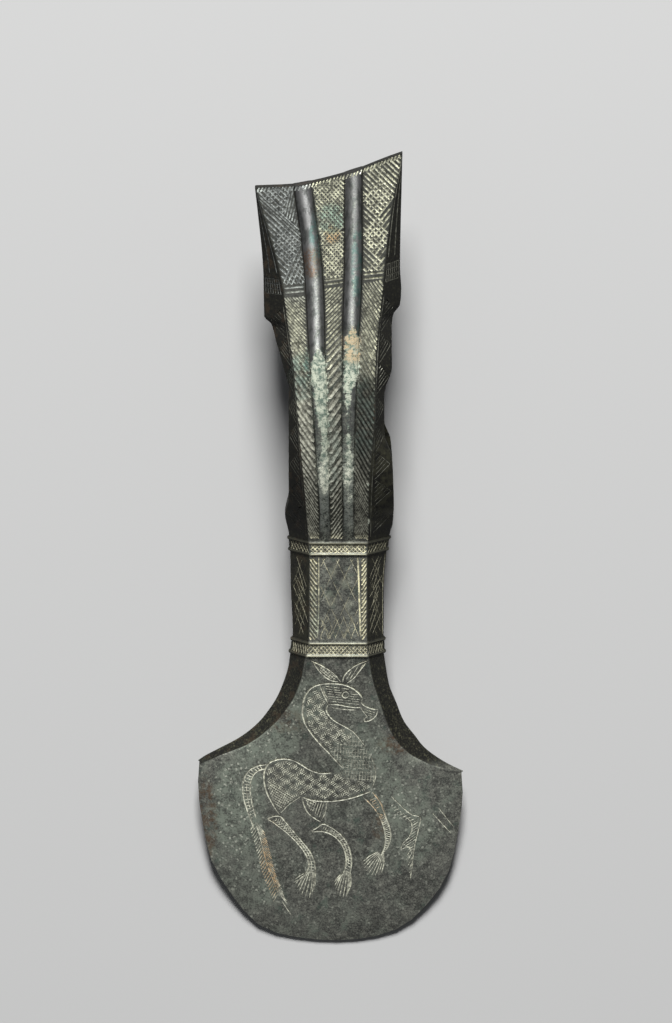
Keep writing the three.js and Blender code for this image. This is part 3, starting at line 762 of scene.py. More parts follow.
# Triangles with rising bars only, and with falling bars only, on the right
RISING_ONLY = [
    [(13.4, 173.6), (11.6, 165.0), (9.3, 169.3)], [(11.9, 163.6), (10.9, 157.3), (8.9, 160.3)],
]
FALLING_ONLY = [
    [(5.2, 179.4), (6.2, 173.7), (9.3, 176.9), (7.6, 178.5)], [(5.8, 171.9), (5.8, 165.8), (9.0, 169.0)],
    [(5.6, 163.4), (5.6, 156.0), (8.6, 159.8)],
    [(11.1, 182.4), (15, 184), (13.6, 174.8), (12.4, 174.0), (10.1, 178.1)],
]
fill(BUTT_RIGHT, -43, 0.95, BAR, strip=2, bare=RISING_ONLY)
fill(BUTT_RIGHT, 52, 0.95, DEEP, strip=2, bare=FALLING_ONLY)
# The back is plainer: one family of strokes in each field.
for strip, angle in zip(STRIPS, (-42, 44, -42)):
    fill(strip_outline(strip, 156.0, 177.2), angle, 2.6, NET, face=-1)

# Nicks along the butt's front edge, like a twisted cord.
NICK_PITCH = 0.78
for x in np.arange(-18.2, 14.3, NICK_PITCH):
    y = BUTT_Y + butt_edge(x)
    chisel((x - 0.25, y - 1.0), (x + 0.15, y - 0.1), NET, past=(0, 0.3), sink=(-0.05, 0.08))
print("strokes so far:", straight.count(), "in", len(straight.sets), "sets")

# %% [markdown]
# ## Collars and neck
# The bands of both collars are filled with small crossed strokes. Between the collars the front of
# the neck has roped borders, two upright lines and a loose net of long diagonals.

# %% Collar hatching and the neck
SLANT, TURN = 1.9, 0.2  # lean of a stroke on the broad face in mm, on the side as a share of its width


def both_ways(lean, face):
    """Strokes cross on the front; the back has one slant only."""
    return (lean, -lean) if face > 0 else (lean,)


def hatch_front(low, high, face):
    """The part of a collar's band over the broad face, cut off at the facet's edges."""
    left, right = -facet_left(low) + 0.1, facet_right(low) - 0.1
    for slant in both_ways(SLANT, face):
        for x in np.arange(-8.0, 8.0, 0.92):
            x0, x1 = x - slant / 2, x + slant / 2
            start, end = sorted(clamp((edge - x0) / (x1 - x0)) for edge in (left, right))
            if end - start > 0.25:
                ends = [(mix(x0, x1, s), mix(low, high, s)) for s in (start, end)]
                chisel(*ends, LINE, face)


def hatch_side(low, high, face, sign, near, far):
    for share in np.arange(0.12, 0.9, 0.155):
        for turn in both_ways(TURN, face):
            ends = [(sign * mix(near(v), far(v), clamp(share + t / 2, 0.06, 0.95)), v)
                    for v, t in ((low, turn), (high, -turn))]
            chisel(*ends, HATCH, face)


SIDES = {-1: (facet_left, side_left), 1: (facet_right, side_right)}
for low, high in (LOWER_COLLAR, UPPER_COLLAR):
    for face in (1, -1):
        hatch_front(low + 0.8, high - 0.8, face)
        for sign, (near, far) in SIDES.items():
            hatch_side(low + 0.8, high - 0.8, face, sign, near, far)

NECK_LOW, NECK_HIGH, NECK_IN = 71.4, 90.4, 4.6
neck_net = [(-4.0, 71.6), (-4.0, 90.2), (4.3, 90.2), (4.6, 71.6)]
rope_left = (lambda v: -facet_left(v) + 0.05, lambda v: -NECK_IN - 0.15)
rope_right = (lambda v: NECK_IN + 0.75, lambda v: facet_right(v) - 0.05)
for face in (1, -1):
    rungs(NECK_LOW, NECK_HIGH, 1.22, rope_left, -2.3, (0.5, 0.3), face, past=(0.3, 0))
    rungs(NECK_LOW, NECK_HIGH, 1.08, rope_right, 1.7, (0.46, 0.28), face, past=(0, 0.3))
    grave([(-4.4, 90.6), (-4.4, 84), (-4.4, 79), (-4.7, 71.8)], FINE, face)
    grave([(4.5, 90.9), (4.7, 86.2), (4.85, 81.5), (5.0, 76.7), (5.2, 72.0)], (0.42, 0.2), face)
for angle, start in ((-65, 0.3), (65, 0.9)):
    fill(neck_net, angle, 2.9, THIN, 5.5, start=start)
# The net is closer at its foot.
fill([(-4.0, 71.6), (-4.0, 77.0), (4.4, 77.4), (4.7, 71.6)], -70, 1.6, THIN, 3.4)
fill([(-4.0, 71.6), (-4.0, 76.4), (4.4, 76.8), (4.7, 71.6)], 68, 1.7, THIN, 3.2)
print("strokes so far:", straight.count(), "in", len(straight.sets), "sets")

# %% [markdown]
# ## The slanted sides
# Along the socket each slanted side has a line close to the facet's edge and a row of hatched
# triangles with their points outwards. Over it lie a small block of net at the band, and long
# lines beside the butt. The sides of the neck have long narrow crossing strokes.

# %% Triangles, blocks and lines on the sides
TRIANGLE = 6.6  # from one triangle to the next
FOOT, POINT = 0.22, 0.9  # where a triangle starts and ends, as shares of the side's width


def side_spot(sign, v, share):
    near, far = SIDES[sign]
    return on_row(v, sign * mix(near(v), far(v), share))


def side_line(sign, low, high, share, face=1):
    grave([side_spot(sign, mix(low, high, i / 6), share) for i in range(7)], FINE, face)


def triangle(sign, v, face):
    """One triangle. On the front it is hatched."""
    first, tip, last = [side_spot(sign, v + TRIANGLE * up, share)
                        for up, share in ((0, FOOT), (0.5, POINT), (1, FOOT))]
    chisel(first, tip, FINE, face)
    chisel(tip, last, FINE, face)
    for s in [k / 6 for k in range(1, 6)] if face > 0 else ():
        chisel(side_spot(sign, v + TRIANGLE * s, FOOT + 0.02),
               side_spot(sign, v + TRIANGLE * mix(s, 1, 0.5), mix(FOOT, POINT, 0.92 * (1 - s))), HAIR, face)


def side_block(sign, face):
    """A small net beside the bands of the broad face."""
    for v in (152.6, 153.8, 155.0, 156.2):
        chisel(side_spot(sign, v, 0.1), side_spot(sign, v, 0.9), FINE, face)
    for share in np.arange(0.16, 0.9, 0.12):
        chisel(side_spot(sign, 152.5, share), side_spot(sign, 156.3, share), HAIR, face)


def neck_scratches(sign, face):
    """Long narrow strokes, no two alike."""
    for v in np.arange(73.0, 89.5, 1.7 if face > 0 else 3.4):
        for longest in both_ways(6.4, face):
            rise, shift = longest * hand.uniform(0.6, 1.05), hand.uniform(-0.6, 0.6)
            trim = hand.uniform(0, 0.3, 2)
            low, high = v + shift - rise / 2, v + shift + rise / 2
            if min(low, high) > NECK_LOW - 0.2 and max(low, high) < NECK_HIGH + 0.3:
                chisel(side_spot(sign, low, 0.1 + trim[0]), side_spot(sign, high, 0.9 - trim[1]), HAIR, face)


for face in (1, -1):
    for sign in SIDES:
        for v in np.arange(96.2, 145, TRIANGLE):
            triangle(sign, v, face)
        for low, high, share in ((95.3, 150, 0.12), (157.5, 177, 0.2), (157.5, 174, 0.62)):
            side_line(sign, low, high, share, face)
        side_block(sign, face)
        neck_scratches(sign, face)
side_line(1, 71.6, 90.6, 0.93)
print("strokes so far:", straight.count(), "in", len(straight.sets), "sets")

# %% [markdown]
# ## The horse
# The animal is drawn with long engraved lines and filled with fine nets: doubled crossing lines on
# the neck and body, a denser net on the thigh, short strokes down the legs and a plaited tail.

# %% Horse outlines
HORSE = {
    "crest": [
        (5.6, 57.6), (4.6, 59.0), (3.1, 60.1), (0.9, 60.9), (-1.6, 61.1), (-4.0, 60.9), (-6.1, 60.0),
        (-7.5, 58.1), (-8.15, 55.0), (-7.8, 52.2), (-6.3, 49.5), (-4.3, 47.0), (-2.3, 44.9), (0.2, 42.1),
        (1.2, 40.9),
    ],
    "left_ear_upper": [(-6.2, 66.5), (-3.5, 65.2), (-0.8, 63.3), (0.6, 61.5)],
    "left_ear_lower": [(-5.6, 66.0), (-4.7, 64.6), (-3.4, 63.1), (-1.7, 61.9), (0.1, 61.5)],
    "right_ear_upper": [(6.8, 66.5), (4.5, 65.6), (2.5, 64.2), (1.3, 62.7), (1.1, 61.4)],
    "right_ear_lower": [(6.4, 66.0), (5.0, 64.2), (3.6, 62.4), (2.1, 61.2)],
    "cheek": [(-4.1, 60.7), (-3.5, 59.0), (-2.6, 57.1), (-2.3, 56.3)],
    "cheek_twin": [(-3.5, 60.3), (-3.0, 58.7), (-2.2, 57.4)],
    "jaw": [(-2.3, 56.2), (-0.1, 56.1), (2.6, 55.6), (4.9, 55.4), (5.5, 55.5)],
    "chin": [(-1.4, 55.4), (1.4, 55.0), (4.2, 54.8)],
    "muzzle": [(5.6, 57.4), (5.3, 56.8), (5.8, 56.0), (6.9, 55.4), (8.2, 54.9), (9.2, 54.8)],
    "lip": [
        (9.1, 54.5), (8.7, 53.4), (7.5, 52.4), (6.1, 52.1), (6.1, 52.9), (6.7, 53.2), (5.9, 54.3),
        (5.2, 55.3),
    ],
    "throat": [
        (-2.3, 56.1), (-2.7, 54.9), (-2.0, 53.4), (-0.7, 52.2), (1.2, 51.1), (3.3, 49.8), (4.6, 48.4),
        (6.2, 46.2),
    ],
    "chest": [(7.3, 44.4), (8.5, 41.2), (8.5, 38.4), (7.6, 35.9)],
    "back": [
        (-1.5, 39.9), (-3.9, 39.8), (-6.4, 40.6), (-8.4, 41.8), (-10.2, 42.8), (-12.4, 43.1), (-14.2, 42.8),
        (-15.8, 42.0), (-16.8, 40.4), (-17.0, 38.0), (-16.4, 35.2), (-15.2, 32.8), (-14.0, 30.8),
        (-13.4, 30.0),
    ],
    "thigh": [(-13.2, 30.3), (-11.3, 32.4), (-8.6, 34.3)],
    "belly": [(-8.3, 34.2), (-6.2, 33.5), (-3.5, 33.2), (0.2, 33.4), (3.5, 34.1), (6.4, 35.1), (7.4, 35.4)],
    "tail_out": [
        (-16.4, 41.6), (-18.3, 41.3), (-20.3, 40.2), (-21.5, 38.4), (-21.9, 35.9), (-21.6, 33.3),
        (-20.8, 30.6), (-20.0, 28.4), (-19.4, 26.6),
    ],
    "tail_in": [
        (-16.4, 40.7), (-18.2, 40.2), (-19.5, 39.0), (-20.1, 37.3), (-20.1, 34.6), (-19.6, 31.8),
        (-18.8, 28.9),
    ],
    "tail_core": [(-18.9, 27.9), (-18.0, 25.0), (-17.1, 21.4), (-16.2, 17.9), (-14.8, 14.3), (-13.5, 10.6)],
    "hind_leg_back": [
        (-16.2, 28.8), (-15.0, 28.2), (-13.8, 27.3), (-11.3, 25.3), (-9.0, 22.9), (-7.3, 20.4), (-6.7, 18.0),
        (-7.6, 15.9), (-9.2, 14.5), (-9.9, 14.1),
    ],
    "hind_leg_front": [
        (-16.2, 28.9), (-14.8, 29.5), (-13.2, 29.5), (-12.4, 28.6), (-10.9, 26.8), (-8.5, 23.9), (-6.6, 21.5),
        (-5.5, 19.0), (-5.2, 16.4), (-5.5, 13.4),
    ],
    "second_thigh": [(-8.2, 34.0), (-7.9, 32.6), (-7.0, 30.6), (-5.4, 29.2), (-4.0, 28.3)],
    "second_thigh_front": [(-2.6, 32.9), (-3.0, 30.4), (-3.8, 28.7)],
    "second_leg_front": [
        (-6.1, 26.1), (-4.6, 27.1), (-3.5, 27.8), (-1.6, 27.0), (0.4, 25.5), (1.9, 23.6), (2.8, 21.2),
        (3.1, 18.7), (2.8, 16.2),
    ],
    "second_leg_back": [
        (-6.0, 25.9), (-3.9, 26.1), (-1.6, 25.4), (0.3, 23.8), (1.5, 21.6), (1.9, 19.2), (1.3, 16.4),
        (-0.4, 14.2),
    ],
    "fore_leg_back": [
        (5.7, 34.2), (7.3, 32.7), (8.9, 30.7), (9.9, 28.8), (10.7, 26.3), (10.9, 23.9), (10.5, 21.6),
        (9.8, 20.2),
    ],
    "fore_leg_front": [
        (7.9, 35.3), (9.7, 32.9), (10.8, 29.9), (12.0, 26.3), (12.1, 24.4), (11.5, 22.5), (10.7, 21.0),
    ],
    "far_fore": [
        (12.2, 34.2), (13.6, 32.8), (15.4, 31.0), (17.1, 29.7), (18.9, 29.1), (18.6, 26.8), (18.1, 24.6),
        (17.5, 21.8), (17.1, 18.2), (16.6, 14.4),
    ],
    "far_fore_back": [
        (15.6, 29.4), (16.8, 28.0), (17.0, 26.4), (16.2, 24.4), (14.8, 22.9), (14.5, 21.7), (16.2, 22.3),
        (16.9, 20.8),
    ],
}
FAINT = ("far_fore", "far_fore_back", "cheek_twin", "chin", "second_thigh_front", "chest")
STRONG = ("crest", "cheek", "back", "belly", "hind_leg_back", "second_leg_back")
for name, spots in HORSE.items():
    grave(spots, FINE if name in FAINT else (0.4, 0.2) if name in STRONG else LINE)

# A line down the middle of two legs and of the tail
for back, front in (
    ("hind_leg_back", "hind_leg_front"), ("second_leg_back", "second_leg_front"), ("tail_out", "tail_in"),
):
    back, front = path(HORSE[back]), path(HORSE[front])
    grave([tuple(Vector(back(t)).lerp(Vector(front(t)), 0.52)) for t in np.linspace(0.4, 0.82, 8)], FINE)

EYE_X, EYE_Y = 1.7, 58.45


def eye_ring(radius, turns):
    return [(EYE_X + radius * math.cos(a), EYE_Y + radius * math.sin(a)) for a in turns]


grave(eye_ring(0.72, np.linspace(0.3, 6.3, 11)), (0.36, 0.17), step=0.25)
SCRATCHES = [((21.8, 29.9), (26.0, 25.1)), ((23.1, 31.2), (26.6, 26.6)), ((-12.9, 9.4), (-10.8, 6.1))]
for scratch in SCRATCHES:
    grave(list(scratch), HAIR)
print("engraved lines:", curved.count(), "in", len(curved.sets), "sets")

# %% Fills
NECK = [
    (-3.9, 60.1), (-6.0, 59.2), (-7.1, 57.4), (-7.6, 54.6), (-7.2, 52.2), (-5.9, 49.8), (-4.0, 47.6),
    (-1.9, 45.3), (0.6, 42.4), (1.8, 40.9), (5.5, 41.5), (7.2, 43.4), (6.1, 45.4), (4.2, 47.9), (2.9, 49.3),
    (1.0, 50.4), (-1.1, 51.6), (-2.5, 53.0), (-3.2, 54.8), (-2.9, 56.4), (-3.8, 58.8),
]
BODY = [
    (0.6, 40.2), (-1.5, 39.4), (-4.0, 39.3), (-6.6, 40.2), (-8.6, 41.3), (-10.4, 42.3), (-12.4, 42.6),
    (-14.1, 42.3), (-15.5, 41.5), (-16.3, 40.2), (-16.5, 38.3), (-10.2, 33.9), (-8.3, 34.8), (-3.4, 33.8),
    (0.2, 34.0), (3.4, 34.7), (7.1, 36.1), (8.0, 38.4), (7.9, 40.8), (5.5, 41.0), (1.8, 40.4),
]
CHEST = [
    (-2.2, 45.0), (1.2, 41.0), (1.0, 38.6), (8.6, 37.6), (8.6, 41.0), (7.0, 44.8), (4.2, 48.4), (1.4, 47.4),
]
THIGH = [
    (-16.4, 38.0), (-15.9, 35.2), (-14.7, 32.7), (-13.3, 30.8), (-11.2, 33.0), (-9.6, 34.0), (-10.6, 34.6),
]
HEAD = [
    (-3.1, 60.4), (-1.6, 60.6), (0.8, 60.3), (2.9, 59.6), (4.3, 58.6), (5.1, 57.4), (4.8, 56.0), (2.5, 56.1),
    (0, 56.6), (-1.8, 56.8), (-2.4, 58.3),
]
LEFT_EAR = [(-5.3, 65.7), (-2.8, 64.5), (-1.0, 63.1), (0.2, 61.8), (-1.7, 62.2), (-3.4, 63.4)]
RIGHT_EAR = [(6.1, 65.7), (4.3, 64.9), (2.8, 63.7), (1.7, 62.3), (1.9, 61.6), (3.4, 62.6), (4.8, 64.3)]


def between_bands(tilt, period, wide):
    """Says of a spot whether it lies between parallel bands that climb at the tilt."""
    nx, ny = -math.sin(math.radians(tilt)), math.cos(math.radians(tilt))
    return lambda x, y: ((x * nx + y * ny) / period) % 1 < wide


MUZZLE = [(5.9, 55.2), (8.4, 54.3), (8.3, 53.4), (7.3, 52.8), (6.9, 53.5), (6.1, 54.5)]
SECOND_THIGH = [(-7.6, 33.6), (-6.6, 31.1), (-4.2, 29.1), (-3.3, 30.4), (-3.2, 32.8)]
SECOND_HIP = [(-7.6, 33.6), (-6.6, 31.1), (-5.6, 30.3), (-5.2, 33.2)]
ELBOW = [(6.6, 34.0), (8.4, 33.8), (9.6, 31.6), (9.4, 30.6), (7.6, 32.9)]
FAR_KNEE = [
    (14.8, 22.6), (16.6, 24.6), (17.4, 28.4), (18.5, 28.6), (17.9, 25.2), (17.4, 20.6), (16.0, 21.6),
]
FAR_SHIN = [(15.6, 21.2), (17.2, 21.8), (17.2, 16.6), (16.5, 15.2), (16.0, 18.0)]
FAR_UPPER = [(12.4, 32.6), (15.2, 30.0), (17.6, 28.6), (17.0, 27.6), (14.6, 29.2), (12.0, 31.6)]
# Upper halves of the hind legs: a net instead of the ladder's rungs
HIND_KNEE = [(-15.0, 28.9), (-13.0, 29.1), (-10.6, 26.0), (-8.0, 22.6), (-8.6, 22.7), (-11.2, 25.6)]
SECOND_KNEE = [(-3.4, 26.6), (-3.2, 27.2), (-1.4, 26.4), (0.6, 24.9), (0.3, 24.2), (-1.4, 25.7)]

for outline, tilts in ((NECK, (40, -48)), (BODY, (36, -36))):
    for tilt in tilts:
        fill(outline, tilt + 72, 0.43, (0.2, 0.11), bare=[between_bands(tilt, 2.0, 0.5), CHEST])
fill(CHEST, 87, 0.66, THIN, 2.4)
fill(CHEST, -4, 0.9, THIN, 1.6)
fill(HEAD, -7, 0.55, THIN, 1.6, bare=[eye_ring(1.15, np.linspace(0.2, 6.3, 9))])
for outline, angle, pitch in (
    (LEFT_EAR, -40, 0.5), (LEFT_EAR, 48, 0.62), (RIGHT_EAR, 58, 0.7), (MUZZLE, -20, 0.5),
    (SECOND_THIGH, 72, 0.6), (SECOND_HIP, -30, 0.6), (ELBOW, 30, 0.6), (FAR_KNEE, 34, 0.5),
    (FAR_SHIN, 62, 0.6), (FAR_UPPER, 20, 0.7),
):
    fill(outline, angle, pitch)
for outline, angle, size in (
    (THIGH, 62, (0.24, 0.12)), (THIGH, -32, (0.24, 0.12)), (HIND_KNEE, 70, HAIR), (SECOND_KNEE, 75, HAIR),
):
    fill(outline, angle, 0.5, size)


def ladder(left, right, count, rise, size=HAIR, start=0.03, end=0.97):
    """Short strokes between two lines, such as the sides of a leg."""
    left, right = path(left), path(right)
    for t in np.linspace(start, end, count):
        p, q = Vector(left(t)), Vector(right(clamp(t + rise)))
        chisel(tuple(p.lerp(q, 0.12)), tuple(p.lerp(q, 0.88)), size)


ladder(HORSE["hind_leg_back"][1:8], HORSE["hind_leg_front"][2:9], 22, 0.05)
ladder(HORSE["second_leg_back"][1:7], HORSE["second_leg_front"][3:], 18, 0.04)
ladder(HORSE["fore_leg_back"][2:], HORSE["fore_leg_front"][2:], 19, 0.03, (0.24, 0.12))
ladder(HORSE["tail_out"][:8], HORSE["tail_in"], 20, -0.03, FINE, 0.1)
# The plait: two short strokes from every spot of its core
core = path(HORSE["tail_core"])
for t in np.linspace(0.0, 0.97, 25):
    x, y = core(t)
    chisel((x + 0.2, y), (x + 2.0, y - 2.3), FINE)
    chisel((x - 0.2, y), (x - 1.25, y - 1.8), FINE)

# Hooves are open fans of strokes, from the ankle to the toe.
HOOVES = [
    ([(-7.4, 16.2), (-6.4, 16.9), (-5.4, 16.4)],
     [(-9.9, 14.6), (-9.3, 12.4), (-8.1, 10.7), (-6.7, 10.2), (-5.6, 12.0)]),
    ([(0.9, 16.1), (1.9, 16.9), (2.8, 16.4)],
     [(-0.8, 14.0), (-0.6, 12.2), (0.4, 10.7), (1.7, 10.3), (2.7, 12.2)]),
    ([(9.2, 21.2), (9.8, 20.6), (10.5, 20.6)],
     [(5.8, 18.9), (6.0, 17.5), (6.9, 16.2), (8.3, 15.5), (10.0, 16.2)]),
]
for ankle, toe in HOOVES:
    ankle, toe = path(ankle), path(toe)
    for t in np.linspace(0, 1, 9):
        p, q = Vector(ankle(t)), Vector(toe(t))
        bow = Vector((q.y - p.y, p.x - q.x)) * (0.06 - 0.12 * t)
        grave([tuple(p), tuple(p.lerp(q, 0.5) + bow), tuple(q)], LINE if t in (0, 1) else FINE)
print("strokes:", straight.count(), "in", len(straight.sets), "sets")

# %% [markdown]
# ## Cutters from Geometry Nodes
# Two small trees turn the collected strokes into cutters. The first puts one wedge-shaped chisel
# bit on every stroke's start, turned along the stroke and stretched to its length. The second
# draws a kite-shaped section along every engraved line and thins it at both ends. Doing this by
# hand would mean placing more than a thousand bits.


# %% A helper for node trees
class Tree:
    """Adds nodes to a tree. One call gives the type, its settings and its socket values or links."""

    def __init__(self, tree):
        self.tree = tree

    def add(self, kind, settings=None, inputs=None):
        node = self.tree.nodes.new(kind)
        for name, value in (settings or {}).items():
            setattr(node, name, value)
        for name, value in (inputs or {}).items():
            self.feed(node.inputs[name], value)
        return node

    def feed(self, socket, value):
        value = getattr(value, "socket", value)
        if isinstance(value, bpy.types.NodeSocket):
            self.tree.links.new(value, socket)
        else:
            socket.default_value = value

    def named(self, name, kind):
        return self.add("GeometryNodeInputNamedAttribute", {"data_type": kind}, {"Name": name}).outputs[0]

    def sum(self, operation, a, b):
        return self.add("ShaderNodeMath", {"operation": operation}, {0: a, 1: b}).outputs[0]


def open_tree(name, sizes):
    """A new geometry tree with named inputs."""
    group = bpy.data.node_groups.new(name, "GeometryNodeTree")
    group.interface.new_socket("Geometry", in_out="INPUT", socket_type="NodeSocketGeometry")
    for label, kind in sizes:
        group.interface.new_socket(label, in_out="INPUT", socket_type="NodeSocket" + kind)
    group.interface.new_socket("Geometry", in_out="OUTPUT", socket_type="NodeSocketGeometry")
    tree = Tree(group)
    return group, tree, tree.add("NodeGroupInput")


def close_tree(tree, shape, fill):
    """Makes instances real, gives them their material and ends the tree."""
    real = tree.add("GeometryNodeRealizeInstances", None, {"Geometry": shape.outputs[0]})
    done = tree.add("GeometryNodeSetMaterial", None, {"Geometry": real.outputs[0], "Material": fill})
    tree.feed(tree.add("NodeGroupOutput").inputs[0], done.outputs[0])


def bake_modifiers(thing):
    """Replaces an object's mesh by what its modifiers make of it."""
    bpy.context.view_layer.update()
    seen = thing.evaluated_get(bpy.context.evaluated_depsgraph_get())
    mesh = bpy.data.meshes.new_from_object(seen)
    thing.modifiers.clear()
    old, thing.data = thing.data, mesh
    bpy.data.meshes.remove(old)


def run_tree(thing, group, values):
    """Runs the tree on an object and keeps the result as its plain mesh."""
    mod = thing.modifiers.new(group.name, "NODES")
    mod.node_group = group
    for item in group.interface.items_tree:
        if item.item_type == "SOCKET" and item.in_out == "INPUT" and item.name in values:
            mod[item.identifier] = values[item.name]
    bake_modifiers(thing)


def add_attribute(mesh, name, values):
    values = np.array(values, float)
    kind = "FLOAT_VECTOR" if values.ndim == 2 else "FLOAT"
    layer = mesh.attributes.new(name, kind, "POINT")
    layer.data.foreach_set("vector" if values.ndim == 2 else "value", values.ravel())


# %% The chisel bit and its tree
BIT_PROFILE = [(0, -1), (0.5, 0), (0.53, 1.6), (-0.53, 1.6), (-0.5, 0)]
bit_points, bit_faces = [], [(0, 1, 2, 3, 4), (19, 18, 17, 16, 15)]
for ring, (place, fat) in enumerate(((0, 0.3), (0.09, 1), (0.91, 1), (1, 0.3))):
    bit_points += [(place, y * fat, z * (fat if z < 0 else 1)) for y, z in BIT_PROFILE]
    if ring:
        bit_faces += [(5 * ring - 5 + k, 5 * ring + k, 5 * ring + (k + 1) % 5, 5 * ring - 5 + (k + 1) % 5)
                      for k in range(5)]
bit = new_object("chisel_bit", bit_points, bit_faces)
face_outwards(bit.data)
groove_fill = bpy.data.materials.new("groove_fill")

chisel_group, tree, given = open_tree("Chisel strokes", [
    ("Bit", "Object"), ("Unevenness", "Float"), ("Seed", "Int"), ("Fill", "Material"),
])
reach = tree.named("reach", "FLOAT_VECTOR")
turn = tree.add("FunctionNodeAxesToRotation", {"primary_axis": "X", "secondary_axis": "Z"},
                {"Primary Axis": reach, "Secondary Axis": tree.named("up", "FLOAT_VECTOR")})
length = tree.add("ShaderNodeVectorMath", {"operation": "LENGTH"}, {0: reach}).outputs["Value"]
pressure = tree.add("FunctionNodeRandomValue", {"data_type": "FLOAT"}, {"Seed": given.outputs["Seed"]})
tree.feed(pressure.inputs[2], tree.sum("SUBTRACT", 1.0, given.outputs["Unevenness"]))
force = pressure.outputs[1]
stretch = tree.add("ShaderNodeCombineXYZ", None, {
    "X": length,
    "Y": tree.sum("MULTIPLY", tree.named("wide", "FLOAT"), force),
    "Z": tree.sum("MULTIPLY", tree.named("deep", "FLOAT"), force),
})
bit_info = tree.add("GeometryNodeObjectInfo", None, {"Object": given.outputs["Bit"]})
bits = tree.add("GeometryNodeInstanceOnPoints", None, {
    "Points": given.outputs["Geometry"], "Instance": bit_info.outputs["Geometry"],
    "Rotation": turn.outputs[0], "Scale": stretch.outputs[0],
})
close_tree(tree, bits, given.outputs["Fill"])

cutters = []
for number, known in enumerate(straight.sets):
    items = known["items"]
    points = new_object(f"strokes_{number}", [tuple(i[0]) for i in items], [])
    for k, name in enumerate(("reach", "up", "wide", "deep")):
        add_attribute(points.data, name, [i[k + 1] for i in items])
    run_tree(points, chisel_group, {"Bit": bit, "Unevenness": 0.2, "Seed": number, "Fill": groove_fill})
    cutters.append(points)
print("straight cutters:", [len(c.data.polygons) for c in cutters])

# %% The graver's tree
graver_group, tree, given = open_tree("Engraved lines", [
    ("Width", "Float"), ("Depth", "Float"), ("Taper", "Float"), ("Fill", "Material"),
])
line = tree.add("GeometryNodeMeshToCurve", None, {"Mesh": given.outputs["Geometry"]})
upright = tree.add("GeometryNodeSetCurveNormal", {"mode": "FREE"},
                   {"Curve": line.outputs[0], "Normal": tree.named("up", "FLOAT_VECTOR")})
spot = tree.add("GeometryNodeSplineParameter").outputs["Length"]
whole = tree.add("GeometryNodeSplineLength").outputs["Length"]
nearest = tree.sum("MINIMUM", tree.sum("SUBTRACT", whole, spot), spot)
thin = tree.add("ShaderNodeMapRange", {"clamp": True}, {
    "Value": nearest, "From Min": 0.0, "From Max": given.outputs["Taper"], "To Min": 0.25, "To Max": 1.0,
})
kite = tree.add("GeometryNodeCurvePrimitiveQuadrilateral", {"mode": "KITE"}, {
    "Width": given.outputs["Width"],
    "Bottom Height": given.outputs["Depth"], "Top Height": given.outputs["Depth"],
})
swept = tree.add("GeometryNodeCurveToMesh", None, {
    "Curve": upright.outputs[0], "Profile Curve": kite.outputs[0],
    "Scale": thin.outputs[0], "Fill Caps": True,
})
close_tree(tree, swept, given.outputs["Fill"])

for number, known in enumerate(curved.sets):
    for size in sorted({i[1:] for i in known["items"]}):
        points, edges, ups = [], [], []
        for hits in (i[0] for i in known["items"] if i[1:] == size):
            edges += [(len(points) + k, len(points) + k + 1) for k in range(len(hits) - 1)]
            points += [tuple(h[0]) for h in hits]
            ups += [tuple(h[1]) for h in hits]
        lines = new_object(f"lines_{number}_{int(size[0] * 100)}", points, [], edges)
        add_attribute(lines.data, "up", ups)
        run_tree(lines, graver_group, {"Width": size[0], "Depth": size[1], "Taper": 1.0, "Fill": groove_fill})
        face_outwards(lines.data)
        cutters.append(lines)
print("all cutters:", len(cutters), "with", sum(len(c.data.polygons) for c in cutters), "faces")

# %% [markdown]
# ## Cutting
# The hole bar goes first, then each set of strokes. Faces that a cutter leaves behind keep the
# cutter's own material, which is how the grooves get their own fill later on.

# %% Boolean cuts
bronze = bpy.data.materials.new("patinated_bronze")
skin.data.materials.append(bronze)
hole_bar.data.materials.append(bronze)
for cutter in [hole_bar] + cutters:
    cut = skin.modifiers.new(cutter.name, "BOOLEAN")
    cut.operation, cut.solver, cut.material_mode = "DIFFERENCE", "MANIFOLD", "TRANSFER"
    cut.object = cutter
bake_modifiers(skin)
for thing in [hole_bar, bit] + cutters:
    bpy.data.objects.remove(thing)
skin.data.validate()
skin.data.calc_loop_triangles()
print("carved skin:", len(skin.data.loop_triangles), "triangles,", [m.name for m in skin.data.materials])

# %% [markdown]
# ## Laying it down
# The axe lies on its back: the back of the socket and the cutting edge touch the floor, so it is
# tipped a few degrees about X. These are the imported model's own tip and place. They go into the
# mesh, so the object stays at the origin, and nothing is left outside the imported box.

# %% Tip and place
TIP = math.radians(8.491978)
SHIFT = Vector((1.7, -90.544127, 0.465694))
lay_down = Matrix.Rotation(TIP, 4, "X")
skin.data.transform(Matrix.Scale(0.001, 4) @ Matrix.Translation(SHIFT) @ lay_down)
HAIRSBREADTH = Vector((1e-6, 1e-6, 1e-6))
low_corner, high_corner = cad_box[0] + HAIRSBREADTH, cad_box[1] - HAIRSBREADTH
for vertex in skin.data.vertices:
    vertex.co = [clamp(c, low, high) for c, low, high in zip(vertex.co, low_corner, high_corner)]
skin.name = skin.data.name = "axe_head_carved"
skin.data.shade_smooth()
skin.data.set_sharp_from_angle(angle=math.radians(26))
print("laid down; box", [round(d * 1000, 2) for d in skin.dimensions], "mm")


# %% [markdown]
# ## Shader arithmetic
# A small class lets formulas be written as Python expressions: each operator adds a Math node.


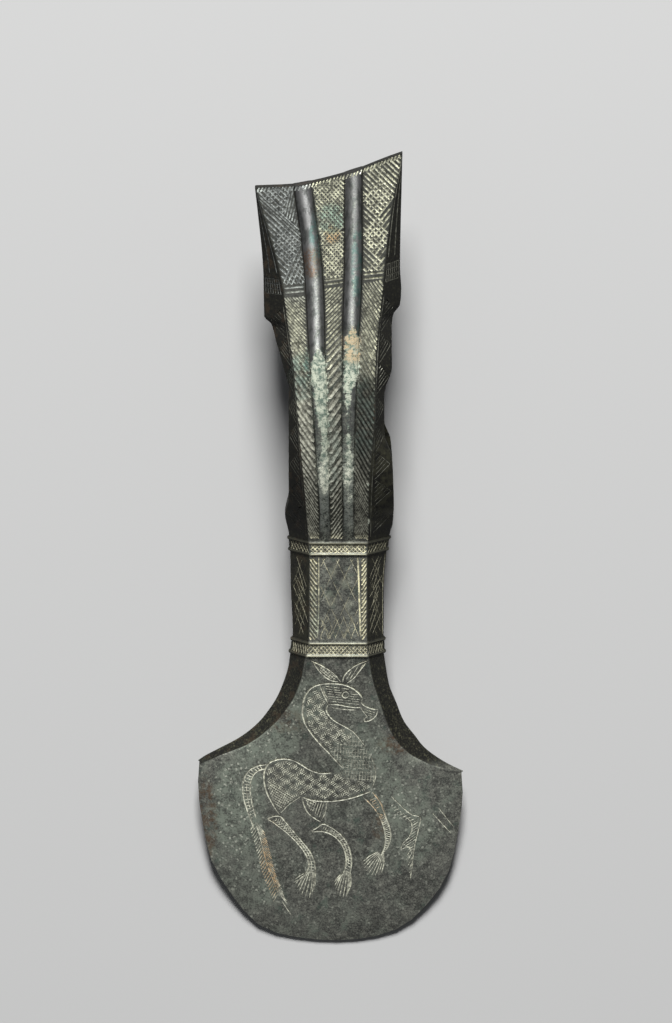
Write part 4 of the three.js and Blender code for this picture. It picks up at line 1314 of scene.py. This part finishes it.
# %% Shader helpers
class Wire(Tree):
    """A number on its way through a material."""

    def __init__(self, tree, socket):
        super().__init__(tree)
        self.socket = socket

    def math(self, operation, *values):
        return Wire(self.tree, self.add("ShaderNodeMath", {"operation": operation},
                                        dict(enumerate((self,) + values))).outputs[0])

    def __add__(self, other):
        return self.math("ADD", other)

    def __mul__(self, other):
        return self.math("MULTIPLY", other)

    __radd__, __rmul__ = __add__, __mul__

    def __sub__(self, other):
        return self.math("SUBTRACT", other)

    def __rsub__(self, other):
        return self.math("MULTIPLY", -1.0) + other

    def __truediv__(self, other):
        return self.math("DIVIDE", other)

    def size(self):
        return self.math("ABSOLUTE")

    def between(self, low, high):
        """0 at low and before it, 1 at high and past it, smooth in between."""
        if low > high:
            return 1.0 - self.between(high, low)
        return Wire(self.tree, self.add("ShaderNodeMapRange", {"interpolation_type": "SMOOTHSTEP"},
                                        {"Value": self, "From Min": low, "From Max": high}).outputs[0])


class Paint(Tree):
    """One material's tree, with the axe's own millimetres as its coordinates."""

    def __init__(self, material):
        material.use_nodes = True
        super().__init__(material.node_tree)
        self.tree.nodes.clear()
        self.shader = self.add("ShaderNodeBsdfPrincipled", None, {"Specular IOR Level": 0.15})
        end = self.add("ShaderNodeOutputMaterial")
        self.feed(end.inputs["Surface"], self.shader.outputs[0])
        # Object coordinates are metres in the lying pose: this takes them back to the axe's frame.
        offset = -(Matrix.Rotation(-TIP, 4, "X") @ SHIFT)
        self.axe = self.add("ShaderNodeMapping", None, {
            "Vector": self.add("ShaderNodeTexCoord").outputs["Object"], "Scale": (1000, 1000, 1000),
            "Rotation": (-TIP, 0, 0), "Location": tuple(offset),
        }).outputs[0]
        split = self.add("ShaderNodeSeparateXYZ", None, {0: self.axe})
        self.x, self.y, self.z = (Wire(self.tree, s) for s in split.outputs)

    def noise(self, scale, detail=3.0, rough=0.55, stretch=None):
        """Blotches about 1/scale millimetres wide, from 0 to 1."""
        spot = self.axe
        if stretch:
            stretched = self.add("ShaderNodeVectorMath", {"operation": "MULTIPLY"}, {0: spot, 1: stretch})
            spot = stretched.outputs[0]
        return Wire(self.tree, self.add("ShaderNodeTexNoise", None, {
            "Vector": spot, "Scale": scale, "Detail": detail, "Roughness": rough,
        }).outputs[0])

    def grains(self, scale):
        cells = self.add("ShaderNodeTexVoronoi", None, {"Vector": self.axe, "Scale": scale})
        return Wire(self.tree, cells.outputs[0])

    def blend(self, under, over, share):
        node = self.add("ShaderNodeMix", {"data_type": "RGBA", "clamp_factor": True})
        self.feed(node.inputs[0], share)
        for socket, colour in ((node.inputs[6], under), (node.inputs[7], over)):
            self.feed(socket, (*colour, 1.0) if isinstance(colour, tuple) else colour)
        return node.outputs[2]

    def along(self, function, low, high, count=13, place=None):
        """A named size as a function of Y, or of another place, through a float curve."""
        places = [mix(low, high, i / (count - 1)) for i in range(count)]
        values = [function(v) for v in places]
        base, span = min(values), max(max(values) - min(values), 1e-6)
        node = self.add("ShaderNodeFloatCurve", None, {"Value": ((place or self.y) - low) / (high - low)})
        curve = node.mapping.curves[0]
        while len(curve.points) < count:
            curve.points.new(0.5, 0.5)
        for point, v, value in zip(curve.points, places, values):
            point.location = ((v - low) / (high - low), (value - base) / span)
            point.handle_type = "VECTOR"
        node.mapping.update()
        return Wire(self.tree, node.outputs[0]) * span + base

    def patch(self, x, y, rx, ry, edge=0.5):
        """1 in an oval round (x, y), fading over the given share of its size."""
        dx, dy = (self.x - x) / rx, (self.y - y) / ry
        return (dx * dx + dy * dy).between(1.0 + edge, 1.0 - edge)

    def patches(self, ovals):
        """Several such ovals at once, each with its own strength."""
        total = 0.0
        for x, y, rx, ry, strength in ovals:
            total = self.patch(x, y, rx, ry) * strength + total
        return total

    def finish(self, inputs):
        """Links the shader's own sockets."""
        for name, value in inputs.items():
            self.feed(self.shader.inputs[name], value)


# %% [markdown]
# ## Patinated bronze
# Old bronze is not shiny brown metal: a thin dark grey-green skin covers it, with the metal only
# showing through where hands and tools have rubbed it, here the butt, the ribs and the upper
# socket. Slow blotches shift the green, small grains give pale specks, and a chalky crust has kept
# to the middle of both ribs. Brown earth stains the left edge of the blade and one shoulder.

# %% Colours, and where they go
# The skin from dark to pale, and what lies on it
DARK, MEDIUM, PALE = (0.085, 0.086, 0.078), (0.205, 0.208, 0.183), (0.36, 0.365, 0.305)
GREEN, HAZE, SPECK = (0.11, 0.17, 0.135), (0.34, 0.38, 0.31), (0.7, 0.72, 0.6)
CREAM, RUBBED, GROUND = (0.42, 0.43, 0.33), (0.4, 0.39, 0.28), (0.022, 0.023, 0.019)
STEEL, DULL_STEEL, GREY_RIB = (0.24, 0.24, 0.235), (0.07, 0.075, 0.07), (0.31, 0.335, 0.3)
TEAL, RUST, BROWN = (0.1, 0.2, 0.18), (0.2, 0.11, 0.06), (0.16, 0.09, 0.048)
# The first of these is dirt in the crust, and also painted crease shade along the feet of the ribs
DIRT_AND_CREASE_SHADE, UMBER, OLIVE = (0.02, 0.02, 0.016), (0.045, 0.031, 0.02), (0.1, 0.098, 0.06)
# Near-black painted shade for the slanted sides, the butt's end and the inside of the haft hole
SIDE_SHADE = (0.01, 0.01, 0.0085)
CHALK, LOW_CHALK, THIN_CHALK = (0.6, 0.64, 0.51), (0.96, 0.98, 0.8), (0.15, 0.195, 0.16)
TAN = (0.55, 0.42, 0.25)
# The floors of the strokes
STROKE, SILVER, WARM = (0.93, 0.93, 0.76), (0.86, 0.9, 0.86), (0.95, 0.91, 0.66)
RUSTY, SEA_GREEN, BLACK = (0.82, 0.62, 0.38), (0.45, 0.6, 0.52), (0.0, 0.0, 0.0)

# Ovals on the axe: middle x and y, half width, half height, strength
CLOUDS = [
    (-23, 32, 6, 11, 1.2), (5, 45, 7, 6, 1), (11, 35, 4, 6, 1), (-8, 57, 5, 6, 0.9), (-17, 47, 8, 5, 1.2),
    (17, 27, 5, 9, 0.8), (-19, 15, 6, 8, 0.6),
]
NET_OVALS = [
    (-1.6, 81, 1.3, 1.8, 1), (1.8, 84.8, 1.2, 1.8, 1), (-1.0, 87.5, 1.1, 1.5, 1), (2.6, 79, 1.1, 1.6, 1),
]
RIB_TEAL = [(-4.2, 164, 2.2, 7, 1), (4.6, 158, 1.6, 9, 1), (5.4, 141, 1.4, 5, 1)]
RIB_RUST = [(-6.2, 158.5, 2.2, 3.2, 1)]
STAINS = [
    (-30.4, 28, 2.6, 10, 1), (15.5, 46.5, 6, 2.6, 1), (-9.5, 78, 3, 6, 1), (-10, 112, 3, 9, 0.7),
    (-12, 52, 5, 3, 0.5), (9.2, 27, 1.6, 3, 0.7), (10.5, 124, 2.5, 6, 0.5),
]
SPLASHES = [
    (5.2, 107.6, 0.6, 1.2, 1), (6.5, 108.2, 0.7, 0.6, 1), (6.0, 106.0, 0.7, 0.5, 1), (6.9, 99.2, 0.4, 0.8, 1),
]
CRUST_TAN = [(3.6, 140.5, 3.5, 4.2, 1)]
BRIGHT_STROKES = [(-0.6, 106, 2, 11, 0.4), (-1.0, 142, 2, 12, 0.15)]
RUSTY_STROKES = [(-15.4, 19, 2.4, 9, 1), (8.6, 31.5, 2.4, 4, 0.8), (-1.3, 164.6, 1.8, 2, 0.8)]
TEAL_STROKES = [
    (-1.4, 168.2, 3.2, 3.4, 1), (-9, 133, 4, 5, 1), (-5.5, 137, 2, 5, 1), (5.5, 124, 4, 9, 1),
    (-1.5, 115, 2, 9, 0.6), (-5.2, 77, 1.5, 6, 0.6),
]
# Where strokes are duller: middle x and y, half width, half height, soft edge, share lost
DULL_STROKES = [
    (6.8, 121, 3.5, 12, 0.5, 0.6), (0, 80.5, 4.3, 8.6, 0.2, 0.4), (-14, 165, 7, 12, 0.5, 0.35),
    (-5.6, 81, 1.0, 10, 0.2, 0.3), (4.5, 42.5, 4.5, 6, 0.5, 0.3), (-11.5, 33.5, 4, 4, 0.5, 0.25),
]
# Brightness of the strokes by row
STROKE_TONE = profile([
    (0, 0.58), (60, 0.66), (66, 0.6), (94, 0.74), (95.5, 0.27), (106, 0.23), (118, 0.32), (130, 0.42),
    (150, 0.52), (162, 0.66), (178, 0.66),
])

# Middle and half width of the crust on each rib, by place along the axe
CRUST_LEFT = (
    profile([(105, -3.0), (120, -3.0), (126, -3.7), (134, -4.3), (141, -4.6)]),
    profile([
        (105.5, -0.6), (107, 0.6), (109.5, 1.4), (113, 1.1), (117, 0.75), (121, 1.0), (126, 1.5), (134, 1.9),
        (137.5, 1.6), (139.5, 0.3), (141, -0.6),
    ]),
)
CRUST_RIGHT = (
    profile([(103, 2.6), (110, 2.3), (119, 2.4), (127, 2.1), (132, 2.6), (136, 3.3), (145, 3.5)]),
    profile([
        (102, -0.5), (104, 0.3), (107.5, 0.5), (110, 1.1), (116, 1.0), (117.4, -0.2), (118.6, 1.1),
        (120.2, 0.2), (125, -0.1), (127, 0.5), (131.5, 1.3), (135, 1.9), (142, 1.7), (144.5, -0.3),
        (146, -0.6),
    ]),
)
print("ovals on the blade:", len(CLOUDS), "stains:", len(STAINS), "dull places:", len(DULL_STROKES))

# %% Masks: the slanted sides and the crust
def face_edge(outline, facet, sign):
    """Edge of the broad face by Y, from the blade's shoulder to the butt."""
    ys = [p[1] for p in outline[::-1]]
    xs = [p[0] for p in outline[::-1]]
    body = by_y(lambda v: sign * facet(v))
    return lambda y: float(np.interp(y, ys, xs)) if y < BLADE_TOP else body(y)


def front_side(p):
    """0 on the broad faces and 1 on the slanted sides."""
    left = p.along(face_edge(FLAT_LEFT, facet_left, -1), 41, 178, 60) - p.x
    right = p.x - p.along(face_edge(FLAT_RIGHT, facet_right, 1), 39, 178, 60)
    return left.math("MAXIMUM", right).between(-0.15, 0.35) * p.y.between(38, 43)


def crust_reach(p):
    """How far inside the chalky crust a spot is, in millimetres, with a ragged edge."""
    left, right = [
        p.along(half, 100, 148, 33) - (p.x - p.along(middle, 100, 148)).size()
        for middle, half in (CRUST_LEFT, CRUST_RIGHT)
    ]
    ragged = (p.noise(0.5, 3.0, 0.6) - 0.5) * 2.6 + (p.noise(1.7, 4.0, 0.7) - 0.5) * 2.4
    # The splashes lie on the right strip.
    splash = p.patches(SPLASHES) * 3.3 + ragged * 0.25 - 3.0
    return (left.math("MAXIMUM", right) + ragged).math("MAXIMUM", splash)


# %% The bronze, layer by layer
class Bronze(Paint):
    """Noises and places that several layers share, and the layers, each laid over the last."""

    def __init__(self, material):
        super().__init__(material)
        self.slow, self.mottle = self.noise(0.09, 4.0, 0.6), self.noise(0.55, 5.0, 0.65)
        self.fine, self.pits = self.noise(2.6, 4.0, 0.7), self.noise(7.0, 3.0, 0.6)
        self.ragged, self.streaks = self.noise(0.9, 5.0, 0.7), self.noise(0.8, 4.0, 0.65, (1.0, 0.3, 1.0))
        self.blade, self.socket = self.y.between(72, 62), self.y.between(92, 97)
        self.raised = self.along(collar_rise, 66, 96, 121).between(0.3, 0.48)
        oval_y, oval_z = (self.y - HOLE_Y) * (1 / HOLE_HALF_Y), self.z * (1 / HOLE_HALF_Z)
        self.hole = (oval_y * oval_y + oval_z * oval_z).between(1.2, 1.12)
        grains = self.grains(1.0).between(0.38, 0.22) * self.noise(0.8, 2.0).between(0.44, 0.54)
        self.grain = grains * self.fine.between(0.4, 0.5)
        left = (self.x - self.along(by_y(rib_left), 94, 178)).size()
        right = (self.x - self.along(by_y(rib_right), 94, 178)).size()
        self.off_rib = left.math("MINIMUM", right) - self.along(rib_half, 94, 178)
        self.rib = self.off_rib.between(0.1, -0.25) * self.y.between(94, 100)
        self.bare = self.rib * self.y.between(112, 138)

    def patina(self):
        slow, mottle, fine, pits = self.slow, self.mottle, self.fine, self.pits
        colour = self.blend(DARK, MEDIUM, (slow * 0.35 + mottle * 0.3 + fine * 0.35).between(0.38, 0.58))
        colour = self.blend(colour, PALE, (mottle * 0.3 + fine * 0.3 + pits * 0.4).between(0.49, 0.58) * 0.75)
        colour = self.blend(colour, DARK, (pits * 0.5 + fine * 0.5).between(0.49, 0.4) * 0.8)
        return self.blend(colour, GREEN, self.noise(0.3, 5.0, 0.7).between(0.54, 0.7) * 0.5)

    def blade_grains(self, colour):
        """Pale haze and grains, thick in a few clouds."""
        cloud = self.noise(0.16, 3.0).between(0.45, 0.66) * 0.4 + self.patches(CLOUDS) * 0.75
        broken = (self.mottle * 0.5 + self.fine * 0.5).between(0.42, 0.56)
        colour = self.blend(colour, HAZE, cloud * (broken * 0.75 + 0.2) * self.blade)
        return self.blend(colour, SPECK, self.grain * (cloud * 0.75 + 0.28) * self.blade)

    def neck_and_collars(self, colour):
        """Pale ovals between the lines of the net, and the collars' raised lines rubbed pale."""
        colour = self.blend(colour, CREAM, self.patches(NET_OVALS) * self.mottle.between(0.35, 0.6) * 0.4)
        return self.blend(colour, RUBBED, self.raised * (0.4 + self.fine * 0.6))

    def ribs(self, colour):
        """Bare and smooth above, grey below, with painted crease shade along their feet."""
        mottle, fine = self.mottle, self.fine
        steel = self.blend(STEEL, DULL_STEEL, self.streaks.between(0.44, 0.64) * 0.8)
        steel = self.blend(steel, TEAL, self.patches(RIB_TEAL) * mottle.between(0.42, 0.58) * 0.7)
        steel = self.blend(steel, RUST, self.patches(RIB_RUST) * fine.between(0.42, 0.56) * 0.7)
        colour = self.blend(colour, steel, self.bare)
        low_rib = self.rib * self.y.between(122, 112)
        colour = self.blend(colour, GREY_RIB, low_rib * (mottle * 0.5 + fine * 0.5).between(0.38, 0.54) * 0.8)
        # Painted crease shade along the feet of the ribs
        foot = self.off_rib.size().between(0.42, 0.1) * self.y.between(97, 102)
        return self.blend(colour, DIRT_AND_CREASE_SHADE, foot * 0.85)

    def painted_shade_places(self):
        """Where shade is painted: the slanted sides, the butt's end and the inside of the haft hole."""
        butt = (self.y - self.along(butt_edge, -19, 15, 25, self.x)).between(BUTT_Y - 0.25, BUTT_Y - 0.05)
        return front_side(self).math("MAXIMUM", butt).math("MAXIMUM", self.hole)

    def side_shade_and_dirt(self, colour, side):
        """They are painted near-black as shade, with brown patches of dirt, pale specks and an olive bloom
        low down.
        """
        # Painted shade: the sides, the butt's end and the hole are blended almost to black.
        colour = self.blend(colour, SIDE_SHADE, side * (0.985 - self.raised * 0.12))
        old_dirt = self.noise(0.35, 4.0, 0.6).between(0.52, 0.64) * self.x.between(4, -4)
        colour = self.blend(colour, UMBER, side * old_dirt * 0.6)
        specks = self.fine.between(0.5, 0.62) * 0.4 + self.grain * 0.5
        lower_right = self.x.between(2, 8) * self.y.between(124, 114) * self.y.between(96, 100)
        neck = self.y.between(96, 94) * self.y.between(66, 70)
        bloom = (lower_right + neck * 0.5) * self.mottle.between(0.36, 0.6) * 0.35
        return self.blend(colour, OLIVE, side * (specks * (0.35 + self.blade * 0.65) + bloom))

    def crust(self, reach):
        """Shares of the crust itself and of dust for two millimetres round it."""
        front = self.z.between(2, 6) * (1.0 - self.hole)
        crust = reach.between(-0.1, 0.25) * front
        return crust, reach.between(-2.2, 0.0) * self.fine.between(0.42, 0.6) * front * 0.45

    def chalk(self):
        """White low down and grey-green above, with one tan patch, green holes and dirt."""
        ragged = self.ragged
        low = self.y.between(119, 111)
        chalk = self.blend(CHALK, LOW_CHALK, low)
        cover = self.mottle * 0.4 + ragged * 0.4 + self.fine * 0.2
        chalk = self.blend(THIN_CHALK, chalk, cover.between(0.4, 0.55))
        chalk = self.blend(chalk, TAN, self.patches(CRUST_TAN) * ragged.between(0.36, 0.54) * 0.85)
        chalk = self.blend(chalk, GREEN, self.noise(1.3, 4.0, 0.7).between(0.51, 0.6) * (0.9 - low * 0.35))
        return self.blend(chalk, DIRT_AND_CREASE_SHADE, self.noise(3.2, 3.0, 0.6).between(0.57, 0.64) * 0.6)


def paint_bronze(material):
    p = Bronze(material)
    colour = p.neck_and_collars(p.blade_grains(p.patina()))
    # Dark ground between the strokes of the socket and the butt
    colour = p.ribs(p.blend(colour, GROUND, p.socket * (1.0 - p.mottle * 0.3)))
    colour = p.blend(colour, BROWN, p.patches(STAINS) * p.ragged.between(0.42, 0.6) * 0.6)
    # Where shade is painted: the slanted sides, the butt's end and the hole
    side = p.painted_shade_places()
    colour = p.side_shade_and_dirt(colour, side)
    crust, dust = p.crust(crust_reach(p))
    colour = p.blend(colour, p.chalk(), crust.math("MAXIMUM", dust))
    metal = 0.55 + p.bare * 0.35 - p.socket * (1.0 - p.bare) * 0.42
    rough = 0.36 + p.mottle * 0.14 + p.fine * 0.12 - p.bare * 0.17
    height = p.fine * 0.5 + p.pits * 0.3 + p.mottle * 0.4 + crust * 0.6 - p.bare * p.pits * 0.2
    bump = p.add("ShaderNodeBump", None, {"Height": height, "Strength": 0.4, "Distance": 0.00012})
    p.finish({
        "Base Color": colour, "Metallic": metal * (1.0 - crust) * (1.0 - side * 0.9),
        "Roughness": rough + crust * 0.35 + side * 0.3 + p.streaks * p.bare * 0.15, "Normal": bump.outputs[0],
    })


paint_bronze(bronze)
print("bronze:", len(bronze.node_tree.nodes), "nodes")

# %% The strokes' own paint
def stroke_tone(p, blotch, painted_glint_and_rust_noise, neck):
    """How bright the strokes are: rubbed metal at the butt, chalk further down, painted glints along them and
    painted shade on the sides.
    """
    tone = p.along(STROKE_TONE, 0, 178, 90)
    # Painted glints: the small noise brightens spots along each stroke.
    tone = tone * (0.3 + blotch.between(0.36, 0.64) * 0.45 + painted_glint_and_rust_noise.between(0.4, 0.62) * 0.7)
    # The tips at the left edge are made brightest, and so is a line on the neck.
    tips = (p.x + p.along(by_y(facet_left), 94, 178)).between(3.2, 0.2)
    tips = tips * p.y.between(96, 100) * p.y.between(146, 138)
    neck_line = p.patch(4.8, 79.5, 0.5, 8, 0.2) * 0.6
    tone = tone * (1.0 + tips * 0.35 + p.patches(BRIGHT_STROKES) + neck_line)
    # Painted shade: strokes on the slanted sides are dimmed, less so on the neck and low on the right.
    right = p.y.between(150, 125) * 0.22 + p.y.between(124, 112) * 0.3
    right = p.x.between(2, 6) * right * (1.0 - neck)
    tone = tone * (1.0 - front_side(p) * (0.75 - neck * 0.27 - right))
    for x, y, half_x, half_y, edge, lost in DULL_STROKES:
        tone = tone * (1.0 - p.patch(x, y, half_x, half_y, edge) * lost)
    return tone


def paint_groove(material):
    """Strokes are paler than the skin, silvery at the butt's left, warm on the neck."""
    p = Paint(material)
    # The smaller noise paints glints on the strokes and breaks up the rusty patches.
    blotch, painted_glint_and_rust_noise = p.noise(0.45, 4.0, 0.7), p.noise(1.6, 3.0, 0.6)
    upper, neck = p.y.between(118, 134), p.y.between(64, 68) * p.y.between(97, 94.5)
    colour = p.blend(STROKE, SILVER, p.x.between(-5, -8) * p.y.between(148, 154))
    colour = p.blend(colour, WARM, neck)
    colour = p.blend(colour, RUSTY, p.patches(RUSTY_STROKES) * painted_glint_and_rust_noise.between(0.36, 0.56))
    colour = p.blend(colour, SEA_GREEN, p.patches(TEAL_STROKES) * blotch.between(0.36, 0.56) * 0.7)
    colour = p.blend(BLACK, colour, stroke_tone(p, blotch, painted_glint_and_rust_noise, neck))
    p.finish({"Base Color": colour, "Metallic": upper * 0.55, "Roughness": 0.6 - upper * 0.22})


paint_groove(groove_fill)
print("materials:", [m.name for m in bpy.data.materials])

# %% [markdown]
# ## Floor, light and camera
# A pale floor and one large soft box, standing high on the butt's side, so that the light runs
# down the axe: the butt is bright and the blade is softer. The slanted sides stay dark, from this
# light and from the painted shade on them. The sky adds very little. The camera hangs straight
# above the lying axe with a long lens.

# %% Stage
HALF_FLOOR = 3.0  # metres
FLOOR_GREY, SKY_BLUE = (0.56, 0.56, 0.555, 1), (0.85, 0.88, 0.92, 1)
corners = [(x * HALF_FLOOR, y * HALF_FLOOR, 0) for x, y in ((-1, -1), (1, -1), (1, 1), (-1, 1))]
floor = new_object("floor", corners, [(0, 1, 2, 3)])
floor_paint = bpy.data.materials.new("floor_paint")
floor_paint.use_nodes = True
floor_shader = floor_paint.node_tree.nodes["Principled BSDF"]
floor_shader.inputs["Base Color"].default_value = FLOOR_GREY
floor_shader.inputs["Roughness"].default_value = 0.9
floor.data.materials.append(floor_paint)


def soft_light(name, place_at, aim, size, power):
    lamp = bpy.data.lights.new(name, "AREA")
    lamp.shape = "RECTANGLE"
    lamp.size, lamp.size_y = size
    lamp.energy = power
    thing = bpy.data.objects.new(name, lamp)
    thing.location = place_at
    thing.rotation_euler = (Vector(aim) - Vector(place_at)).to_track_quat("-Z", "Y").to_euler()
    bpy.context.scene.collection.objects.link(thing)


soft_light("soft_box", (-0.02, 1.5, 1.5), (0, 0.03, 0.01), (0.6, 0.9), 66.0)
world = bpy.data.worlds.new("studio")
world.use_nodes = True
sky = world.node_tree.nodes["Background"]
sky.inputs["Color"].default_value = SKY_BLUE
sky.inputs["Strength"].default_value = 0.1
bpy.context.scene.world = world

camera = bpy.data.cameras.new("camera")
camera.sensor_fit = "VERTICAL"
camera.sensor_height, camera.lens, camera.clip_end = 24, 307.2, 20
eye = bpy.data.objects.new("camera", camera)
eye.location = (0.00124, 0.00819, 3.018)
bpy.context.scene.collection.objects.link(eye)
bpy.context.scene.camera = eye
bpy.context.scene.view_settings.view_transform = "Standard"

# %% Hand over
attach(skin, "root")
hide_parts("axe_head")
